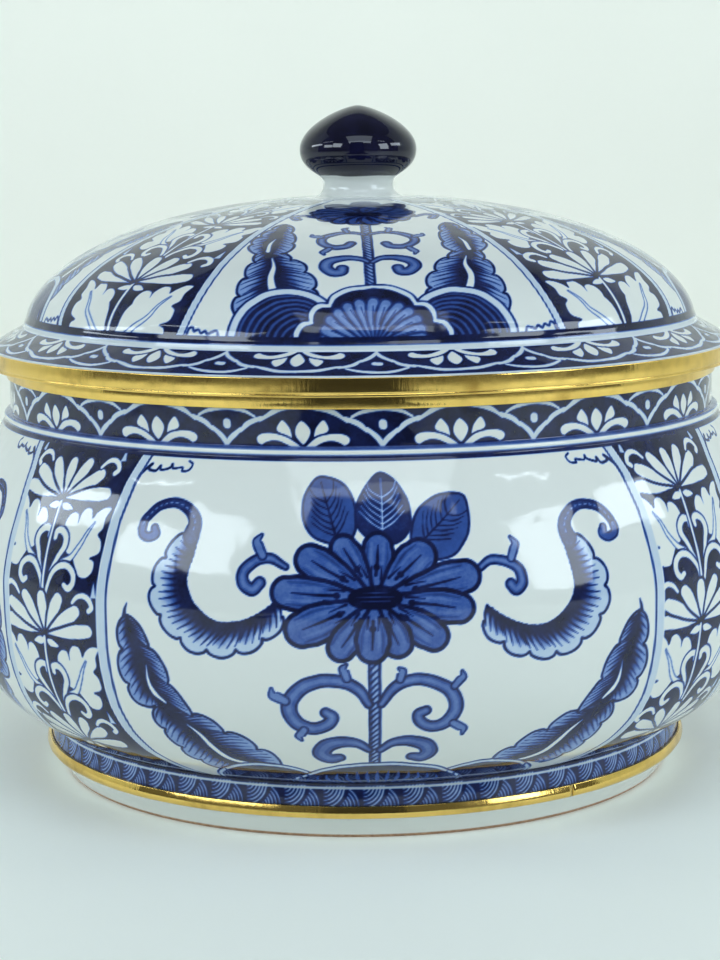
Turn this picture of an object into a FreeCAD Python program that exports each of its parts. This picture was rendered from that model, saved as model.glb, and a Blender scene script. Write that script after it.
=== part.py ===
import FreeCAD, Part

import math
import os

# Round covered tureen in glazed porcelain with three brass bands. Millimetres.
# The origin is the centre of the plane that the foot ring rests on, +Z is up along the
# axis of revolution, and the front of the decoration faces -Y.

# ---- driving dimensions -------------------------------------------------------------

# bowl
FOOT_EDGE_RADIUS = 107.3        # outer edge of the foot ring, at the resting plane
FOOT_INNER_RADIUS = 100.5       # inner edge of the foot ring
FOOT_RECESS = 8.5               # height of the hollow under the base
FOOT_BAND_SEAT_RADIUS = 112.3   # the widest part of the foot, which the brass band grips
FOOT_TOP_RADIUS = 111.4         # crease between foot and belly
FOOT_TOP_HEIGHT = 18.9
BELLY_RADIUS = 143.4
BELLY_HEIGHT = 78.0             # level of the widest part of the belly
BELLY_START_ANGLE = 24.0        # degrees above level, where the belly leaves the foot
SHOULDER_RADIUS = 124.8         # where the shoulder meets the bead
SHOULDER_HEIGHT = 124.6
BEAD_RADIUS = 125.3             # raised bead under the neck
BEAD_TOP_HEIGHT = 127.2
NECK_RADIUS = 123.0
MOUTH_RADIUS = 118.0            # inside of the neck and of the mouth
RIM_HEIGHT = 142.3              # bare porcelain rim, under its brass cap
WALL = 4.8
FLOOR_HEIGHT = 15.0             # inside floor of the bowl
FLOOR_RADIUS = 76.0             # the floor is level out to this radius
RIM_ROUNDING = 0.8

# brass bands
BRASS = 0.8                     # thickness of the brass strip
CEMENT = 0.25                   # bedding between brass and porcelain
FOOT_BAND_LOW = 8.0
FOOT_BAND_HIGH = 11.9
RIM_BAND_LOW = 139.0
SEAM_WIDTH = 0.9                # soldered butt joint between the strip's two ends
FOOT_SEAM_ANGLE = 36.0          # degrees round from the front, towards +X
RIM_SEAM_ANGLE = 152.0
LID_SEAM_ANGLE = 69.0

# lid
FLANGE_RADIUS = 129.45          # bare edge of the flange, inside its brass band
FLANGE_TOP_HEIGHT = 149.5       # top of that edge
LID_BAND_HIGH = 149.3
LID_SEAT_RADIUS = 125.0         # outside of the flat ring that rests on the bowl
LID_STEP = 1.05                 # the flange outside that ring is cut back by this much
LID_BEAD_RADIUS = 117.9         # bead where the flange meets the dome
LID_BEAD_LOW = 156.3
DOME_RADIUS = 116.8
DOME_BASE_HEIGHT = 158.3
DOME_TOP_HEIGHT = 199.3
DOME_BASE_ANGLE = 80.0          # degrees above level, where the dome leaves the bead
LOCATING_RADIUS = 116.2         # outside of the ring that drops into the mouth
LOCATING_WALL = 4.6
LOCATING_DEPTH = 7.0
LID_WALL = 4.6
KNOB_SEAT_RADIUS = 15.2         # small flat on the crown, where the knob is stuck on

# knob
KNOB_NECK_RADIUS = 12.2
KNOB_NECK_HEIGHT = 203.6
KNOB_GLAZE_RADIUS = 14.4        # where the cobalt glaze of the finial begins
KNOB_GLAZE_HEIGHT = 206.4
KNOB_RADIUS = 20.4
KNOB_WIDEST_HEIGHT = 215.0
TOTAL_HEIGHT = 230.2

# the bowl's brass cap and the lid meet here
SEAT_HEIGHT = RIM_HEIGHT + CEMENT + BRASS

ORIGIN = FreeCAD.Vector(0, 0, 0)
UP = FreeCAD.Vector(0, 0, 1)
FULL_TURN = 360.0


# ---- profile helpers ----------------------------------------------------------------

def at(radius, height):
    """A point of a profile, which lies in the XZ plane."""
    return FreeCAD.Vector(radius, 0, height)


def straight(start, end):
    return Part.LineSegment(start, end).toShape()


def polyline(points):
    return [straight(a, b) for a, b in zip(points, points[1:])]


def bezier(*poles):
    curve = Part.BezierCurve()
    curve.setPoles(list(poles))
    return curve.toShape()


def arc(start, middle, end):
    return Part.Arc(start, middle, end).toShape()


def sloping(point, angle_deg, length):
    """The point that lies a length away, at an angle above level, outwards."""
    angle = math.radians(angle_deg)
    return point + FreeCAD.Vector(length * math.cos(angle), 0, length * math.sin(angle))


def lathe(edges, start_deg=0.0, sweep_deg=FULL_TURN):
    """The solid that a closed profile sweeps about the vertical axis."""
    face = Part.Face(Part.Wire(edges))
    face.rotate(ORIGIN, UP, start_deg)
    solid = face.revolve(ORIGIN, UP, sweep_deg)
    if solid.Volume < 0:
        solid.reverse()
    return solid


def seam_half_angle(radius):
    return math.degrees(SEAM_WIDTH / 2 / radius)


def azimuth_from_x(seam_angle):
    """Angle from +X, for an angle that is counted from the front (-Y) towards +X."""
    return seam_angle - 90.0


def open_ring(edges, seam_angle, radius):
    """A strip bent into a ring, with its two ends a seam's width apart."""
    half = seam_half_angle(radius)
    return lathe(edges, azimuth_from_x(seam_angle) + half, FULL_TURN - 2 * half)


def seam_fill(edges, seam_angle, radius):
    """The solder that closes such a ring."""
    half = seam_half_angle(radius)
    return lathe(edges, azimuth_from_x(seam_angle) - half, 2 * half)


# ---- bowl ---------------------------------------------------------------------------

def bowl_outside():
    """Foot, belly, bead and neck, from the resting plane up to the rim."""
    foot_edge = at(FOOT_EDGE_RADIUS, 0.6)
    seat_low = at(FOOT_BAND_SEAT_RADIUS, FOOT_BAND_LOW - 0.1)
    seat_high = at(FOOT_BAND_SEAT_RADIUS, FOOT_BAND_HIGH + 0.1)
    foot_top = at(FOOT_TOP_RADIUS, FOOT_TOP_HEIGHT)
    widest = at(BELLY_RADIUS, BELLY_HEIGHT)
    shoulder = at(SHOULDER_RADIUS, SHOULDER_HEIGHT)
    bead_top = at(NECK_RADIUS, BEAD_TOP_HEIGHT)
    bead_middle = at(BEAD_RADIUS, (SHOULDER_HEIGHT + BEAD_TOP_HEIGHT) / 2)
    neck_high = at(NECK_RADIUS, RIM_HEIGHT - RIM_ROUNDING)
    rim = at(NECK_RADIUS - RIM_ROUNDING, RIM_HEIGHT)
    return [
        bezier(foot_edge, at(FOOT_EDGE_RADIUS + 1.6, 4.0), at(FOOT_BAND_SEAT_RADIUS - 1.0, 6.0), seat_low),
        straight(seat_low, seat_high),
        straight(seat_high, foot_top),
        bezier(foot_top, sloping(foot_top, BELLY_START_ANGLE, 36.0),
               at(BELLY_RADIUS, BELLY_HEIGHT - 17.0), widest),
        bezier(widest, at(BELLY_RADIUS, BELLY_HEIGHT + 15.0), sloping(shoulder, -45.0, 6.0), shoulder),
        arc(shoulder, bead_middle, bead_top),
        straight(bead_top, neck_high),
        straight(neck_high, rim),
    ]


def bowl_inside():
    """Rim, mouth, belly and floor, from the rim down to the axis."""
    rim_out = at(NECK_RADIUS - RIM_ROUNDING, RIM_HEIGHT)
    rim_in = at(MOUTH_RADIUS + RIM_ROUNDING, RIM_HEIGHT)
    mouth_high = at(MOUTH_RADIUS, RIM_HEIGHT - RIM_ROUNDING)
    mouth_low = at(MOUTH_RADIUS, SHOULDER_HEIGHT + 2.0)
    inner_radius = BELLY_RADIUS - WALL
    widest = at(inner_radius, BELLY_HEIGHT)
    floor_edge = at(FLOOR_RADIUS, FLOOR_HEIGHT)
    floor_centre = at(0, FLOOR_HEIGHT)
    return [
        straight(rim_out, rim_in),
        straight(rim_in, mouth_high),
        straight(mouth_high, mouth_low),
        bezier(mouth_low, at(MOUTH_RADIUS + 2.5, SHOULDER_HEIGHT - 5.0),
               at(inner_radius, BELLY_HEIGHT + 19.0), widest),
        bezier(widest, at(inner_radius, BELLY_HEIGHT - 32.0),
               at(FLOOR_RADIUS + 46.0, FLOOR_HEIGHT), floor_edge),
        straight(floor_edge, floor_centre),
    ]


def bowl_underside():
    """Recessed base and the inner face of the foot ring, from the axis out to the foot's edge."""
    recess_edge = at(FOOT_INNER_RADIUS - 4.0, FOOT_RECESS)
    inner_high = at(FOOT_INNER_RADIUS, 0.6)
    inner_low = at(FOOT_INNER_RADIUS + 0.6, 0)
    outer_low = at(FOOT_EDGE_RADIUS - 0.6, 0)
    return [
        straight(at(0, FOOT_RECESS), recess_edge),
        bezier(recess_edge, at(FOOT_INNER_RADIUS - 1.0, FOOT_RECESS),
               at(FOOT_INNER_RADIUS, FOOT_RECESS - 4.0), inner_high),
        straight(inner_high, inner_low),
        straight(inner_low, outer_low),
        straight(outer_low, at(FOOT_EDGE_RADIUS, 0.6)),
    ]


def make_bowl():
    axis_edge = straight(at(0, FLOOR_HEIGHT), at(0, FOOT_RECESS))
    return lathe(bowl_outside() + bowl_inside() + [axis_edge] + bowl_underside())


# ---- brass bands --------------------------------------------------------------------

def ring_section(inner, outer, low, high):
    """A rectangular section."""
    corners = [at(inner, low), at(outer, low), at(outer, high), at(inner, high), at(inner, low)]
    return polyline(corners)


def foot_band_section():
    inner = FOOT_BAND_SEAT_RADIUS + CEMENT
    return ring_section(inner, inner + BRASS, FOOT_BAND_LOW, FOOT_BAND_HIGH)


def foot_cement_section():
    inner = FOOT_BAND_SEAT_RADIUS
    return ring_section(inner, inner + CEMENT, FOOT_BAND_LOW, FOOT_BAND_HIGH)


def rim_cap_section(gap, thickness, top_inner, low):
    """A right-angled strip over the rim: a leg down the outside of the neck and a lip over the top."""
    leg_inner = NECK_RADIUS + gap
    leg_outer = leg_inner + thickness
    lip_low = RIM_HEIGHT + gap
    lip_high = lip_low + thickness
    corners = [
        at(leg_inner, low),
        at(leg_outer, low),
        at(leg_outer, lip_high),
        at(top_inner, lip_high),
        at(top_inner, lip_low),
        at(leg_inner, lip_low),
        at(leg_inner, low),
    ]
    return polyline(corners)


def rim_band_section():
    return rim_cap_section(CEMENT, BRASS, MOUTH_RADIUS + 0.3, RIM_BAND_LOW)


def rim_cement_section():
    return rim_cap_section(0.0, CEMENT, MOUTH_RADIUS + RIM_ROUNDING, RIM_BAND_LOW + 0.2)


def lid_edge_section(gap, thickness, lip_inner, high):
    """A right-angled strip round the flange: a leg up its edge and a lip turned in under it."""
    leg_inner = FLANGE_RADIUS + gap
    leg_outer = leg_inner + thickness
    lip_high = SEAT_HEIGHT + LID_STEP - gap
    lip_low = lip_high - thickness
    corners = [
        at(lip_inner, lip_low),
        at(leg_outer, lip_low),
        at(leg_outer, high),
        at(leg_inner, high),
        at(leg_inner, lip_high),
        at(lip_inner, lip_high),
        at(lip_inner, lip_low),
    ]
    return polyline(corners)


def lid_band_section():
    return lid_edge_section(CEMENT, BRASS, LID_SEAT_RADIUS + 0.4, LID_BAND_HIGH)


def lid_cement_section():
    return lid_edge_section(0.0, CEMENT, LID_SEAT_RADIUS + 0.4, LID_BAND_HIGH - 0.2)


def band_set(name, band_section, cement_section, seam_angle, radius):
    """One brass band: the bent strip, the solder at its seam and the cement behind it."""
    return {
        name: open_ring(band_section(), seam_angle, radius),
        name + "_solder": seam_fill(band_section(), seam_angle, radius),
        name + "_cement": lathe(cement_section()),
    }


# ---- lid ----------------------------------------------------------------------------

def crown_point(base_radius, base_height, crown_height, base_angle):
    """Poles of the dome's curve, from its base up to the axis, where it is level."""
    base = at(base_radius, base_height)
    rise = crown_height - base_height
    lean = math.radians(base_angle)
    handle = 0.43 * rise
    low_pole = base + FreeCAD.Vector(-handle * math.cos(lean), 0, handle * math.sin(lean))
    high_pole = at(0.663 * base_radius, crown_height)
    return base, low_pole, high_pole, at(0, crown_height)


def dome_curve(base_radius, base_height, crown_height):
    """The dome's curve, cut off at the knob's seat: its edge and its upper end."""
    curve = Part.BezierCurve()
    curve.setPoles(list(crown_point(base_radius, base_height, crown_height, DOME_BASE_ANGLE)))
    end = curve.parameter(at(KNOB_SEAT_RADIUS, crown_height))
    edge = curve.toShape(0.0, end)
    return edge, curve.value(end)


def lid_outside():
    """Flange edge, sloping flange, bead and dome, from the edge up to the knob's seat."""
    edge_low = at(FLANGE_RADIUS, SEAT_HEIGHT + LID_STEP)
    edge_high = at(FLANGE_RADIUS, FLANGE_TOP_HEIGHT)
    bead_low = at(DOME_RADIUS + 0.4, LID_BEAD_LOW)
    bead_middle = at(LID_BEAD_RADIUS, (LID_BEAD_LOW + DOME_BASE_HEIGHT) / 2)
    bead_high = at(DOME_RADIUS, DOME_BASE_HEIGHT)
    dome, dome_end = dome_curve(DOME_RADIUS, DOME_BASE_HEIGHT, DOME_TOP_HEIGHT)
    seat_edge = dome_end
    seat_centre = at(0, dome_end.z)
    return [
        straight(edge_low, edge_high),
        straight(edge_high, bead_low),
        arc(bead_low, bead_middle, bead_high),
        dome,
        straight(seat_edge, seat_centre),
    ]


def lid_inside():
    """Hollow of the dome and the locating ring, from the axis out to the flange's edge."""
    inner_base = at(LOCATING_RADIUS - LOCATING_WALL, DOME_BASE_HEIGHT)
    crown_height = DOME_TOP_HEIGHT - LID_WALL
    lean = DOME_BASE_ANGLE
    base, low_pole, high_pole, crown = crown_point(inner_base.x, inner_base.z, crown_height, lean)
    ring_low = SEAT_HEIGHT - LOCATING_DEPTH
    corners = [
        base,
        at(LOCATING_RADIUS - LOCATING_WALL, ring_low),
        at(LOCATING_RADIUS - 0.8, ring_low),
        at(LOCATING_RADIUS, ring_low + 1.5),
        at(LOCATING_RADIUS, SEAT_HEIGHT),
        at(LID_SEAT_RADIUS, SEAT_HEIGHT),
        at(LID_SEAT_RADIUS, SEAT_HEIGHT + LID_STEP),
        at(FLANGE_RADIUS, SEAT_HEIGHT + LID_STEP),
    ]
    return [bezier(crown, high_pole, low_pole, base)] + polyline(corners)


def make_lid():
    outside = lid_outside()
    seat_height = outside[-1].Vertexes[-1].Z
    axis_edge = straight(at(0, seat_height), at(0, DOME_TOP_HEIGHT - LID_WALL))
    return lathe(outside + [axis_edge] + lid_inside())


def knob_seat_height():
    dome, dome_end = dome_curve(DOME_RADIUS, DOME_BASE_HEIGHT, DOME_TOP_HEIGHT)
    return dome_end.z


def make_knob():
    """A waisted neck under an onion-shaped finial that comes to a soft point."""
    seat = knob_seat_height()
    foot = at(KNOB_SEAT_RADIUS, seat)
    waist = at(KNOB_NECK_RADIUS, KNOB_NECK_HEIGHT)
    collar = at(KNOB_GLAZE_RADIUS, KNOB_GLAZE_HEIGHT)
    widest = at(KNOB_RADIUS, KNOB_WIDEST_HEIGHT)
    tip = at(0, TOTAL_HEIGHT)
    edges = [
        straight(at(0, seat), foot),
        bezier(foot, at(KNOB_NECK_RADIUS + 0.2, seat + 0.6),
               at(KNOB_NECK_RADIUS, KNOB_NECK_HEIGHT - 1.6), waist),
        bezier(waist, at(KNOB_NECK_RADIUS, KNOB_NECK_HEIGHT + 1.4),
               at(KNOB_GLAZE_RADIUS - 1.2, KNOB_GLAZE_HEIGHT - 0.8), collar),
        bezier(collar, at(KNOB_GLAZE_RADIUS + 3.6, KNOB_GLAZE_HEIGHT + 2.2),
               at(KNOB_RADIUS, KNOB_WIDEST_HEIGHT - 4.0), widest),
        bezier(widest, at(KNOB_RADIUS, KNOB_WIDEST_HEIGHT + 8.8),
               at(0.22 * KNOB_RADIUS, TOTAL_HEIGHT), tip),
        straight(tip, at(0, seat)),
    ]
    return lathe(edges)


# ---- write the pieces ---------------------------------------------------------------

def all_pieces():
    pieces = {"bowl": make_bowl(), "lid": make_lid(), "knob": make_knob()}
    foot_radius = FOOT_BAND_SEAT_RADIUS + BRASS
    bands = [
        ("foot_band", foot_band_section, foot_cement_section, FOOT_SEAM_ANGLE, foot_radius),
        ("rim_band", rim_band_section, rim_cement_section, RIM_SEAM_ANGLE, NECK_RADIUS),
        ("lid_band", lid_band_section, lid_cement_section, LID_SEAM_ANGLE, FLANGE_RADIUS),
    ]
    for band in bands:
        pieces.update(band_set(*band))
    return pieces


os.makedirs("parts", exist_ok=True)
for node, solid in all_pieces().items():
    solid.exportStep("parts/" + node + ".step")
    print(node, solid.ShapeType, "valid", solid.isValid(), "volume cm3", round(solid.Volume / 1000, 2))
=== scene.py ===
import math

import bpy
import numpy as np
from mathutils import Matrix, Vector


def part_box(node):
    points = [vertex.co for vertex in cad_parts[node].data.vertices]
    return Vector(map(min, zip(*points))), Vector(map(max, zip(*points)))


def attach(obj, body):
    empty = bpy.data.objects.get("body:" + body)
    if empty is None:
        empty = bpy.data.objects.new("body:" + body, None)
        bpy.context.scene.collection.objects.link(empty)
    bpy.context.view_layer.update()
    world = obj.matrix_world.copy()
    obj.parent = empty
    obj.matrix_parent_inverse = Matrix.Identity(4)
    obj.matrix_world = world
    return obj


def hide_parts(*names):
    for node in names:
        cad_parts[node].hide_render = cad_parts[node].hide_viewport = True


# A covered porcelain tureen with hand-painted cobalt decoration and brass bands.
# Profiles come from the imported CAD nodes. The decoration is painted here as one number per
# vertex, the strength of the cobalt, on meshes fine enough to hold a brush line.
# Painting works in millimetres, the scene in metres. Angles round the pot (azimuths) are
# counted from the front (-Y) towards +X.

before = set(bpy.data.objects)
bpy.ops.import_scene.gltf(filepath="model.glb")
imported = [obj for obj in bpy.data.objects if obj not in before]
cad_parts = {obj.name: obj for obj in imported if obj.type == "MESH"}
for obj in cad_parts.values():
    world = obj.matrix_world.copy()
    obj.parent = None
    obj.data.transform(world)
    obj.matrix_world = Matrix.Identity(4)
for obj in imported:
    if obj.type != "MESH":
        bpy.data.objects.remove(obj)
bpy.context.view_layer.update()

MM = 0.001
FINE = 0.42      # vertex spacing on painted surfaces, mm
PLAIN = 2.4                                 # and on plain ones
SHEET_STEP = 0.3                            # spacing of the sheets that panels are painted on
SOFT = 0.24                                 # half-width of a painted edge, mm

# strengths of cobalt, from bare glaze to the deepest navy
WHITE = 0.0
FAINT = 0.08
PALE = 0.16
WASH = 0.3
MID = 0.56
DEEP = 0.76
LINE = 0.86
NAVY = 0.94


# ---- curves -------------------------------------------------------------------------

def spline(points, steps=7, closed=False):
    """A smooth path through the points."""
    p = np.asarray(points, float)
    if closed:
        p = np.vstack([p[-1], p, p[0], p[1]])
    else:
        p = np.vstack([2 * p[0] - p[1], p, 2 * p[-1] - p[-2]])
    t = np.linspace(0, 1, steps, endpoint=False)[:, None]
    spans = []
    for a, b, c, d in zip(p, p[1:], p[2:], p[3:]):
        cubic = (-a + 3 * b - 3 * c + d) * t ** 3
        square = (2 * a - 5 * b + 4 * c - d) * t ** 2
        spans.append(0.5 * (2 * b + (c - a) * t + square + cubic))
    if not closed:
        spans.append(p[-2][None])
    return np.vstack(spans)


def measure(path):
    """Distance along a path at each of its points."""
    return np.r_[0, np.cumsum(np.hypot(*np.diff(path, axis=0).T))]


def resample(path, count):
    s = measure(path)
    at = np.linspace(0, s[-1], count)
    return np.stack([np.interp(at, s, path[:, 0]), np.interp(at, s, path[:, 1])], -1)


def normals(path):
    """Unit normals on the left of a path."""
    d = np.gradient(path, axis=0)
    d /= np.maximum(np.hypot(*d.T), 1e-9)[:, None]
    return np.stack([-d[:, 1], d[:, 0]], -1)


def mirror(points, axis=0.0, lift=0.0):
    """The same points on the other side of an upright axis."""
    p = np.asarray(points, float).copy()
    p[:, 0] = 2 * axis - p[:, 0]
    p[:, 1] += lift
    return p


def scallops(path, lobes, bulge, spine):
    """A path with lobes that swell away from a spine and meet in cusps."""
    fine = resample(path, lobes * 12 + 1)
    out = normals(fine)
    middle = len(fine) // 2
    if np.dot(out[middle], fine[middle] - spine[len(spine) // 2]) < 0:
        out = -out
    t = np.linspace(0, 1, len(fine))
    swell = bulge * np.sqrt(np.abs(np.sin(np.pi * lobes * t)) + 1e-9)
    return fine + out * (swell - 0.35 * bulge)[:, None]


def nearest(path, x, y):
    """For each point, its distance to a path, and how far along the path that is (0 to 1)."""
    a = path[:-1]
    d = path[1:] - a
    length2 = np.maximum((d * d).sum(1), 1e-12)
    t = ((x[:, None] - a[:, 0]) * d[:, 0] + (y[:, None] - a[:, 1]) * d[:, 1]) / length2
    t = np.clip(t, 0, 1)
    gap2 = (x[:, None] - a[:, 0] - t * d[:, 0]) ** 2 + (y[:, None] - a[:, 1] - t * d[:, 1]) ** 2
    k = gap2.argmin(1)
    row = np.arange(len(x))
    return np.sqrt(gap2[row, k]), (k + t[row, k]) / len(a)


def within(path, x, y):
    """Whether each point lies inside a closed path."""
    a = path
    b = np.roll(path, -1, axis=0)
    crosses = (a[:, 1] > y[:, None]) != (b[:, 1] > y[:, None])
    rise = np.where(b[:, 1] == a[:, 1], 1e-9, b[:, 1] - a[:, 1])
    hit = a[:, 0] + (y[:, None] - a[:, 1]) * (b[:, 0] - a[:, 0]) / rise
    return ((crosses & (x[:, None] < hit)).sum(1) % 2) == 1


def by_hand(path):
    """A path with the small unevenness of a hand, which depends only on where it is."""
    x, y = np.asarray(path, float).T
    push = np.sin(0.31 * x + 0.43 * y + 0.4) + 0.5 * np.sin(0.77 * x - 0.52 * y + 2.1)
    lift = np.sin(0.37 * x - 0.39 * y + 1.7) + 0.5 * np.sin(0.63 * x + 0.74 * y + 4.0)
    return np.stack([x + 0.12 * push, y + 0.12 * lift], -1)


def ease(value):
    v = np.clip(value, 0, 1)
    return v * v * (3 - 2 * v)


# ---- painting -----------------------------------------------------------------------

class Sheet:
    """A stretch of glaze that is painted on: x across, y up, and the cobalt at each point."""

    def __init__(self, x, y, ground=WHITE):
        self.x = x
        self.y = y
        self.ink = np.full(x.shape, float(ground))

    def near(self, path, margin):
        """Indices, x and y of the sheet's points round a path."""
        low = path.min(0) - margin
        high = path.max(0) + margin
        rows = np.where((self.y >= low[1]) & (self.y <= high[1]))[0]
        if not len(rows):
            return None
        band = self.x[rows[0]:rows[-1] + 1]
        r, c = np.where((band >= low[0]) & (band <= high[0]))
        if not len(r):
            return None
        r = r + rows[0]
        return (r, c), self.x[r, c], self.y[r]

    def lay(self, index, cover, ink):
        self.ink[index] += cover * (ink - self.ink[index])

    def fill(self, path, ink, edge=0.0, edge_ink=LINE):
        """A closed shape, with an outline if it has an edge."""
        path = by_hand(path)
        spot = self.near(path, SOFT + edge)
        if spot is None:
            return
        index, x, y = spot
        gap, _ = nearest(np.vstack([path, path[:1]]), x, y)
        depth = np.where(within(path, x, y), gap, -gap)
        if edge:
            self.lay(index, ease((depth + edge / 2) / (2 * SOFT) + 0.5), edge_ink)
        inner = ease((depth - edge / 2) / (2 * SOFT) + 0.5)
        self.lay(index, inner, ink)

    def ribbon(self, path, widths, ink, edge=0.0, edge_ink=LINE):
        """A stroke whose width changes along its length, with an outline if it has an edge."""
        path = by_hand(path)
        widths = np.atleast_1d(np.asarray(widths, float))
        spot = self.near(path, widths.max() / 2 + SOFT + edge)
        if spot is None:
            return
        index, x, y = spot
        gap, along = nearest(path, x, y)
        press = 0.04 * np.sin(0.9 * x + 0.6) * np.sin(0.8 * y + 1.1)
        half = np.interp(along, np.linspace(0, 1, len(widths)), widths) / 2 + press
        if edge:
            self.lay(index, ease((half + edge / 2 - gap) / (2 * SOFT) + 0.5), edge_ink)
        self.lay(index, ease((half - edge / 2 - gap) / (2 * SOFT) + 0.5), ink)

    def dot(self, x, y, radius, ink):
        self.ribbon([(x - 0.01, y), (x + 0.01, y)], [2 * radius], ink)

    def plume(self, spine, rim, lobes, bulge, strokes, light=PALE, reach=0.74, sweep=0.03, weight=1.0):
        """Half a leaf: dark along its spine, fading to a scalloped rim, with brush strokes across.

        Spine and rim run from the leaf's root to its tip. Sweep is how far along the rim a stroke
        ends ahead of where it began on the spine.
        """
        spine = resample(spline(spine), 60)
        edge = scallops(spline(rim), lobes, bulge, spine)
        outline = by_hand(np.vstack([spine, edge[::-1]]))
        spot = self.near(outline, 1.0)
        if spot is None:
            return
        index, x, y = spot
        from_spine, _ = nearest(by_hand(spine), x, y)
        from_edge, _ = nearest(by_hand(edge), x, y)
        gap = np.minimum(from_spine, from_edge)
        depth = np.where(within(outline, x, y), gap, -gap)
        share = from_spine / np.maximum(from_spine + from_edge, 1e-6)
        shade = NAVY + (light - NAVY) * ease((share - 0.16) / 0.62)
        self.lay(index, ease(depth / (2 * SOFT) + 0.5), shade)
        side = resample(edge, 200)
        for k in range(strokes):
            t = (k + 0.5) / strokes
            root = spine[int(t * 59)]
            tip = side[int(np.clip(t + sweep, 0, 1) * 199)]
            end = root + (tip - root) * reach
            bow = spine[min(int(t * 59) + 1, 59)] - root
            middle = root + (tip - root) * reach * 0.5 - bow * np.sign(sweep) * 0.6
            self.ribbon(spline([root, middle, end], 4), np.array([0.95, 0.75, 0.18]) * weight, NAVY * 0.98)
        self.ribbon(edge, [0.8], NAVY)
        self.ribbon(spine, [0.5, 0.9, 0.5], NAVY)


def scroll(sheet, points, widths):
    """A curling stem with a blue outline and a paler middle."""
    path = spline(points)
    sheet.ribbon(path, widths, MID, 0.75)
    sheet.ribbon(path, np.asarray(widths) * 0.35, MID - 0.1)


def bud(sheet, root, tip, width, ink=WASH + 0.14):
    """A small shoot that widens and curls over at its tip."""
    root = np.asarray(root, float)
    tip = np.asarray(tip, float)
    reach = tip - root
    side = np.array([-reach[1], reach[0]]) * (0.42 if reach[0] * reach[1] > 0 else -0.42)
    path = spline([root, root + 0.6 * reach, tip, tip + 0.25 * reach + side], 5)
    sheet.ribbon(path, np.array([0.95, 1.05, 0.9, 0.3]) * width, ink, 0.55)


def petal(sheet, centre, tip, width, ink=MID, start=0.12, vein=True, edge=0.95, edge_ink=LINE):
    """A petal that is narrow at the heart and round at its tip."""
    centre = np.asarray(centre, float)
    reach = np.asarray(tip, float) - centre
    length = np.hypot(*reach)
    last = 1 - 0.42 * width / length
    path = centre + reach * np.linspace(start, last, 9)[:, None]
    shape = width * np.array([0.22, 0.38, 0.54, 0.7, 0.83, 0.93, 1.0, 1.0, 0.9])
    sheet.ribbon(path, shape, ink, edge, edge_ink)
    if vein:
        sheet.ribbon(centre + reach * np.array([[0.36], [0.6], [0.82]]), [1.0, 0.75, 0.3], NAVY)


# ---- the white panel of the bowl ------------------------------------------------------

STEM_X = -4.3           # the painter set the flower a little to the left of the panel's middle
HEART = (-3.8, 79.6)


def sickle_leaf(sheet, place):
    """The long fringed leaf that swings out from the flower and ends in a hook."""
    inner = [(-33, 78.5), (-38, 75), (-43, 72.3), (-49, 71.1), (-55, 72.4), (-59.5, 76), (-62.2, 81),
             (-62.6, 86), (-61.3, 92), (-60.3, 98)]
    outer = [(-31, 73.5), (-35, 68.6), (-41, 64.4), (-49, 62), (-57, 62), (-64, 64.6), (-70, 70),
             (-73.6, 76.5), (-73.8, 83), (-72, 88.5), (-68.7, 93.5), (-65.4, 98)]
    sheet.plume(place(inner), place(outer), 8, 2.0, 34)
    hook = [(-62.8, 97), (-62.2, 101), (-64.8, 105), (-70, 107), (-76, 105.6), (-80.2, 101.6), (-81.2, 98.2)]
    sheet.ribbon(spline(place(hook)), [5.2, 4.2, 3.2, 2.7, 2.6, 2.6, 2.6], DEEP, 0.6)
    curl = [(-81, 99.4), (-80.6, 96.8), (-78, 95.8), (-75.8, 97), (-76.4, 98.8)]
    sheet.ribbon(spline(place(curl)), [2.6, 2.4, 2.6, 3.0, 2.4], MID, 0.6)
    flecks = resample(spline(place(hook)), 16)
    for low, high in zip(flecks[1:-1], flecks[2:]):
        sheet.ribbon([low, low + (high - low) * 0.45], [0.5, 0.2], WASH)


def ground_leaf(sheet, place):
    """The feathered leaf that lies along the panel's lower corner, in two lengths."""
    low_spine = [(-48, 18.4), (-53, 20), (-57.6, 24), (-60.5, 29), (-64.5, 35), (-70, 39.5), (-75.5, 42.4)]
    left_rim = [(-60, 13), (-67, 18), (-71.4, 24), (-73.4, 29.5), (-76, 36), (-76.2, 42)]
    right_rim = [(-36.6, 18), (-39.5, 25), (-45.5, 30.4), (-53.5, 35.4), (-61, 39.8), (-68, 42.6),
                 (-75, 43.4)]
    sheet.plume(place(low_spine), place(left_rim), 4, 2.1, 18, WASH, 0.86, -0.13, 0.75)
    sheet.plume(place(low_spine), place(right_rim), 4, 2.5, 30, WASH, 0.88, -0.13, 0.75)
    high_spine = [(-73.4, 42.6), (-76, 48), (-78, 54), (-80, 60), (-81.6, 66), (-83.3, 71)]
    left_rim = [(-76.4, 41.6), (-83, 45), (-86, 52), (-86, 59), (-85.8, 66), (-83.6, 71.5)]
    right_rim = [(-62.6, 40.4), (-68, 48), (-71.5, 56), (-75.6, 62.6), (-79.6, 68), (-83, 71.5)]
    sheet.plume(place(high_spine), place(left_rim), 3, 2.2, 16, WASH, 0.86, -0.12, 0.75)
    sheet.plume(place(high_spine), place(right_rim), 3, 1.6, 24, WASH, 0.9, -0.15, 0.75)
    sheet.ribbon(spline(place([(-84.2, 71), (-83.9, 73), (-83.2, 75)]), 3), [1.5, 1.0, 0.5], LINE)
    sheet.ribbon(spline(place([(-77, 56), (-76.6, 51), (-75, 47), (-71.6, 44)])), [0.2, 1.1, 1.6, 0.7], WHITE)
    rib = [(-66, 36.4), (-62.4, 33), (-59.6, 28), (-56.8, 23.6), (-52.6, 20.4), (-47, 19)]
    sheet.ribbon(spline(place(rib)), [0.2, 1.2, 1.9, 2.1, 1.7, 1.0], WHITE)


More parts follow.
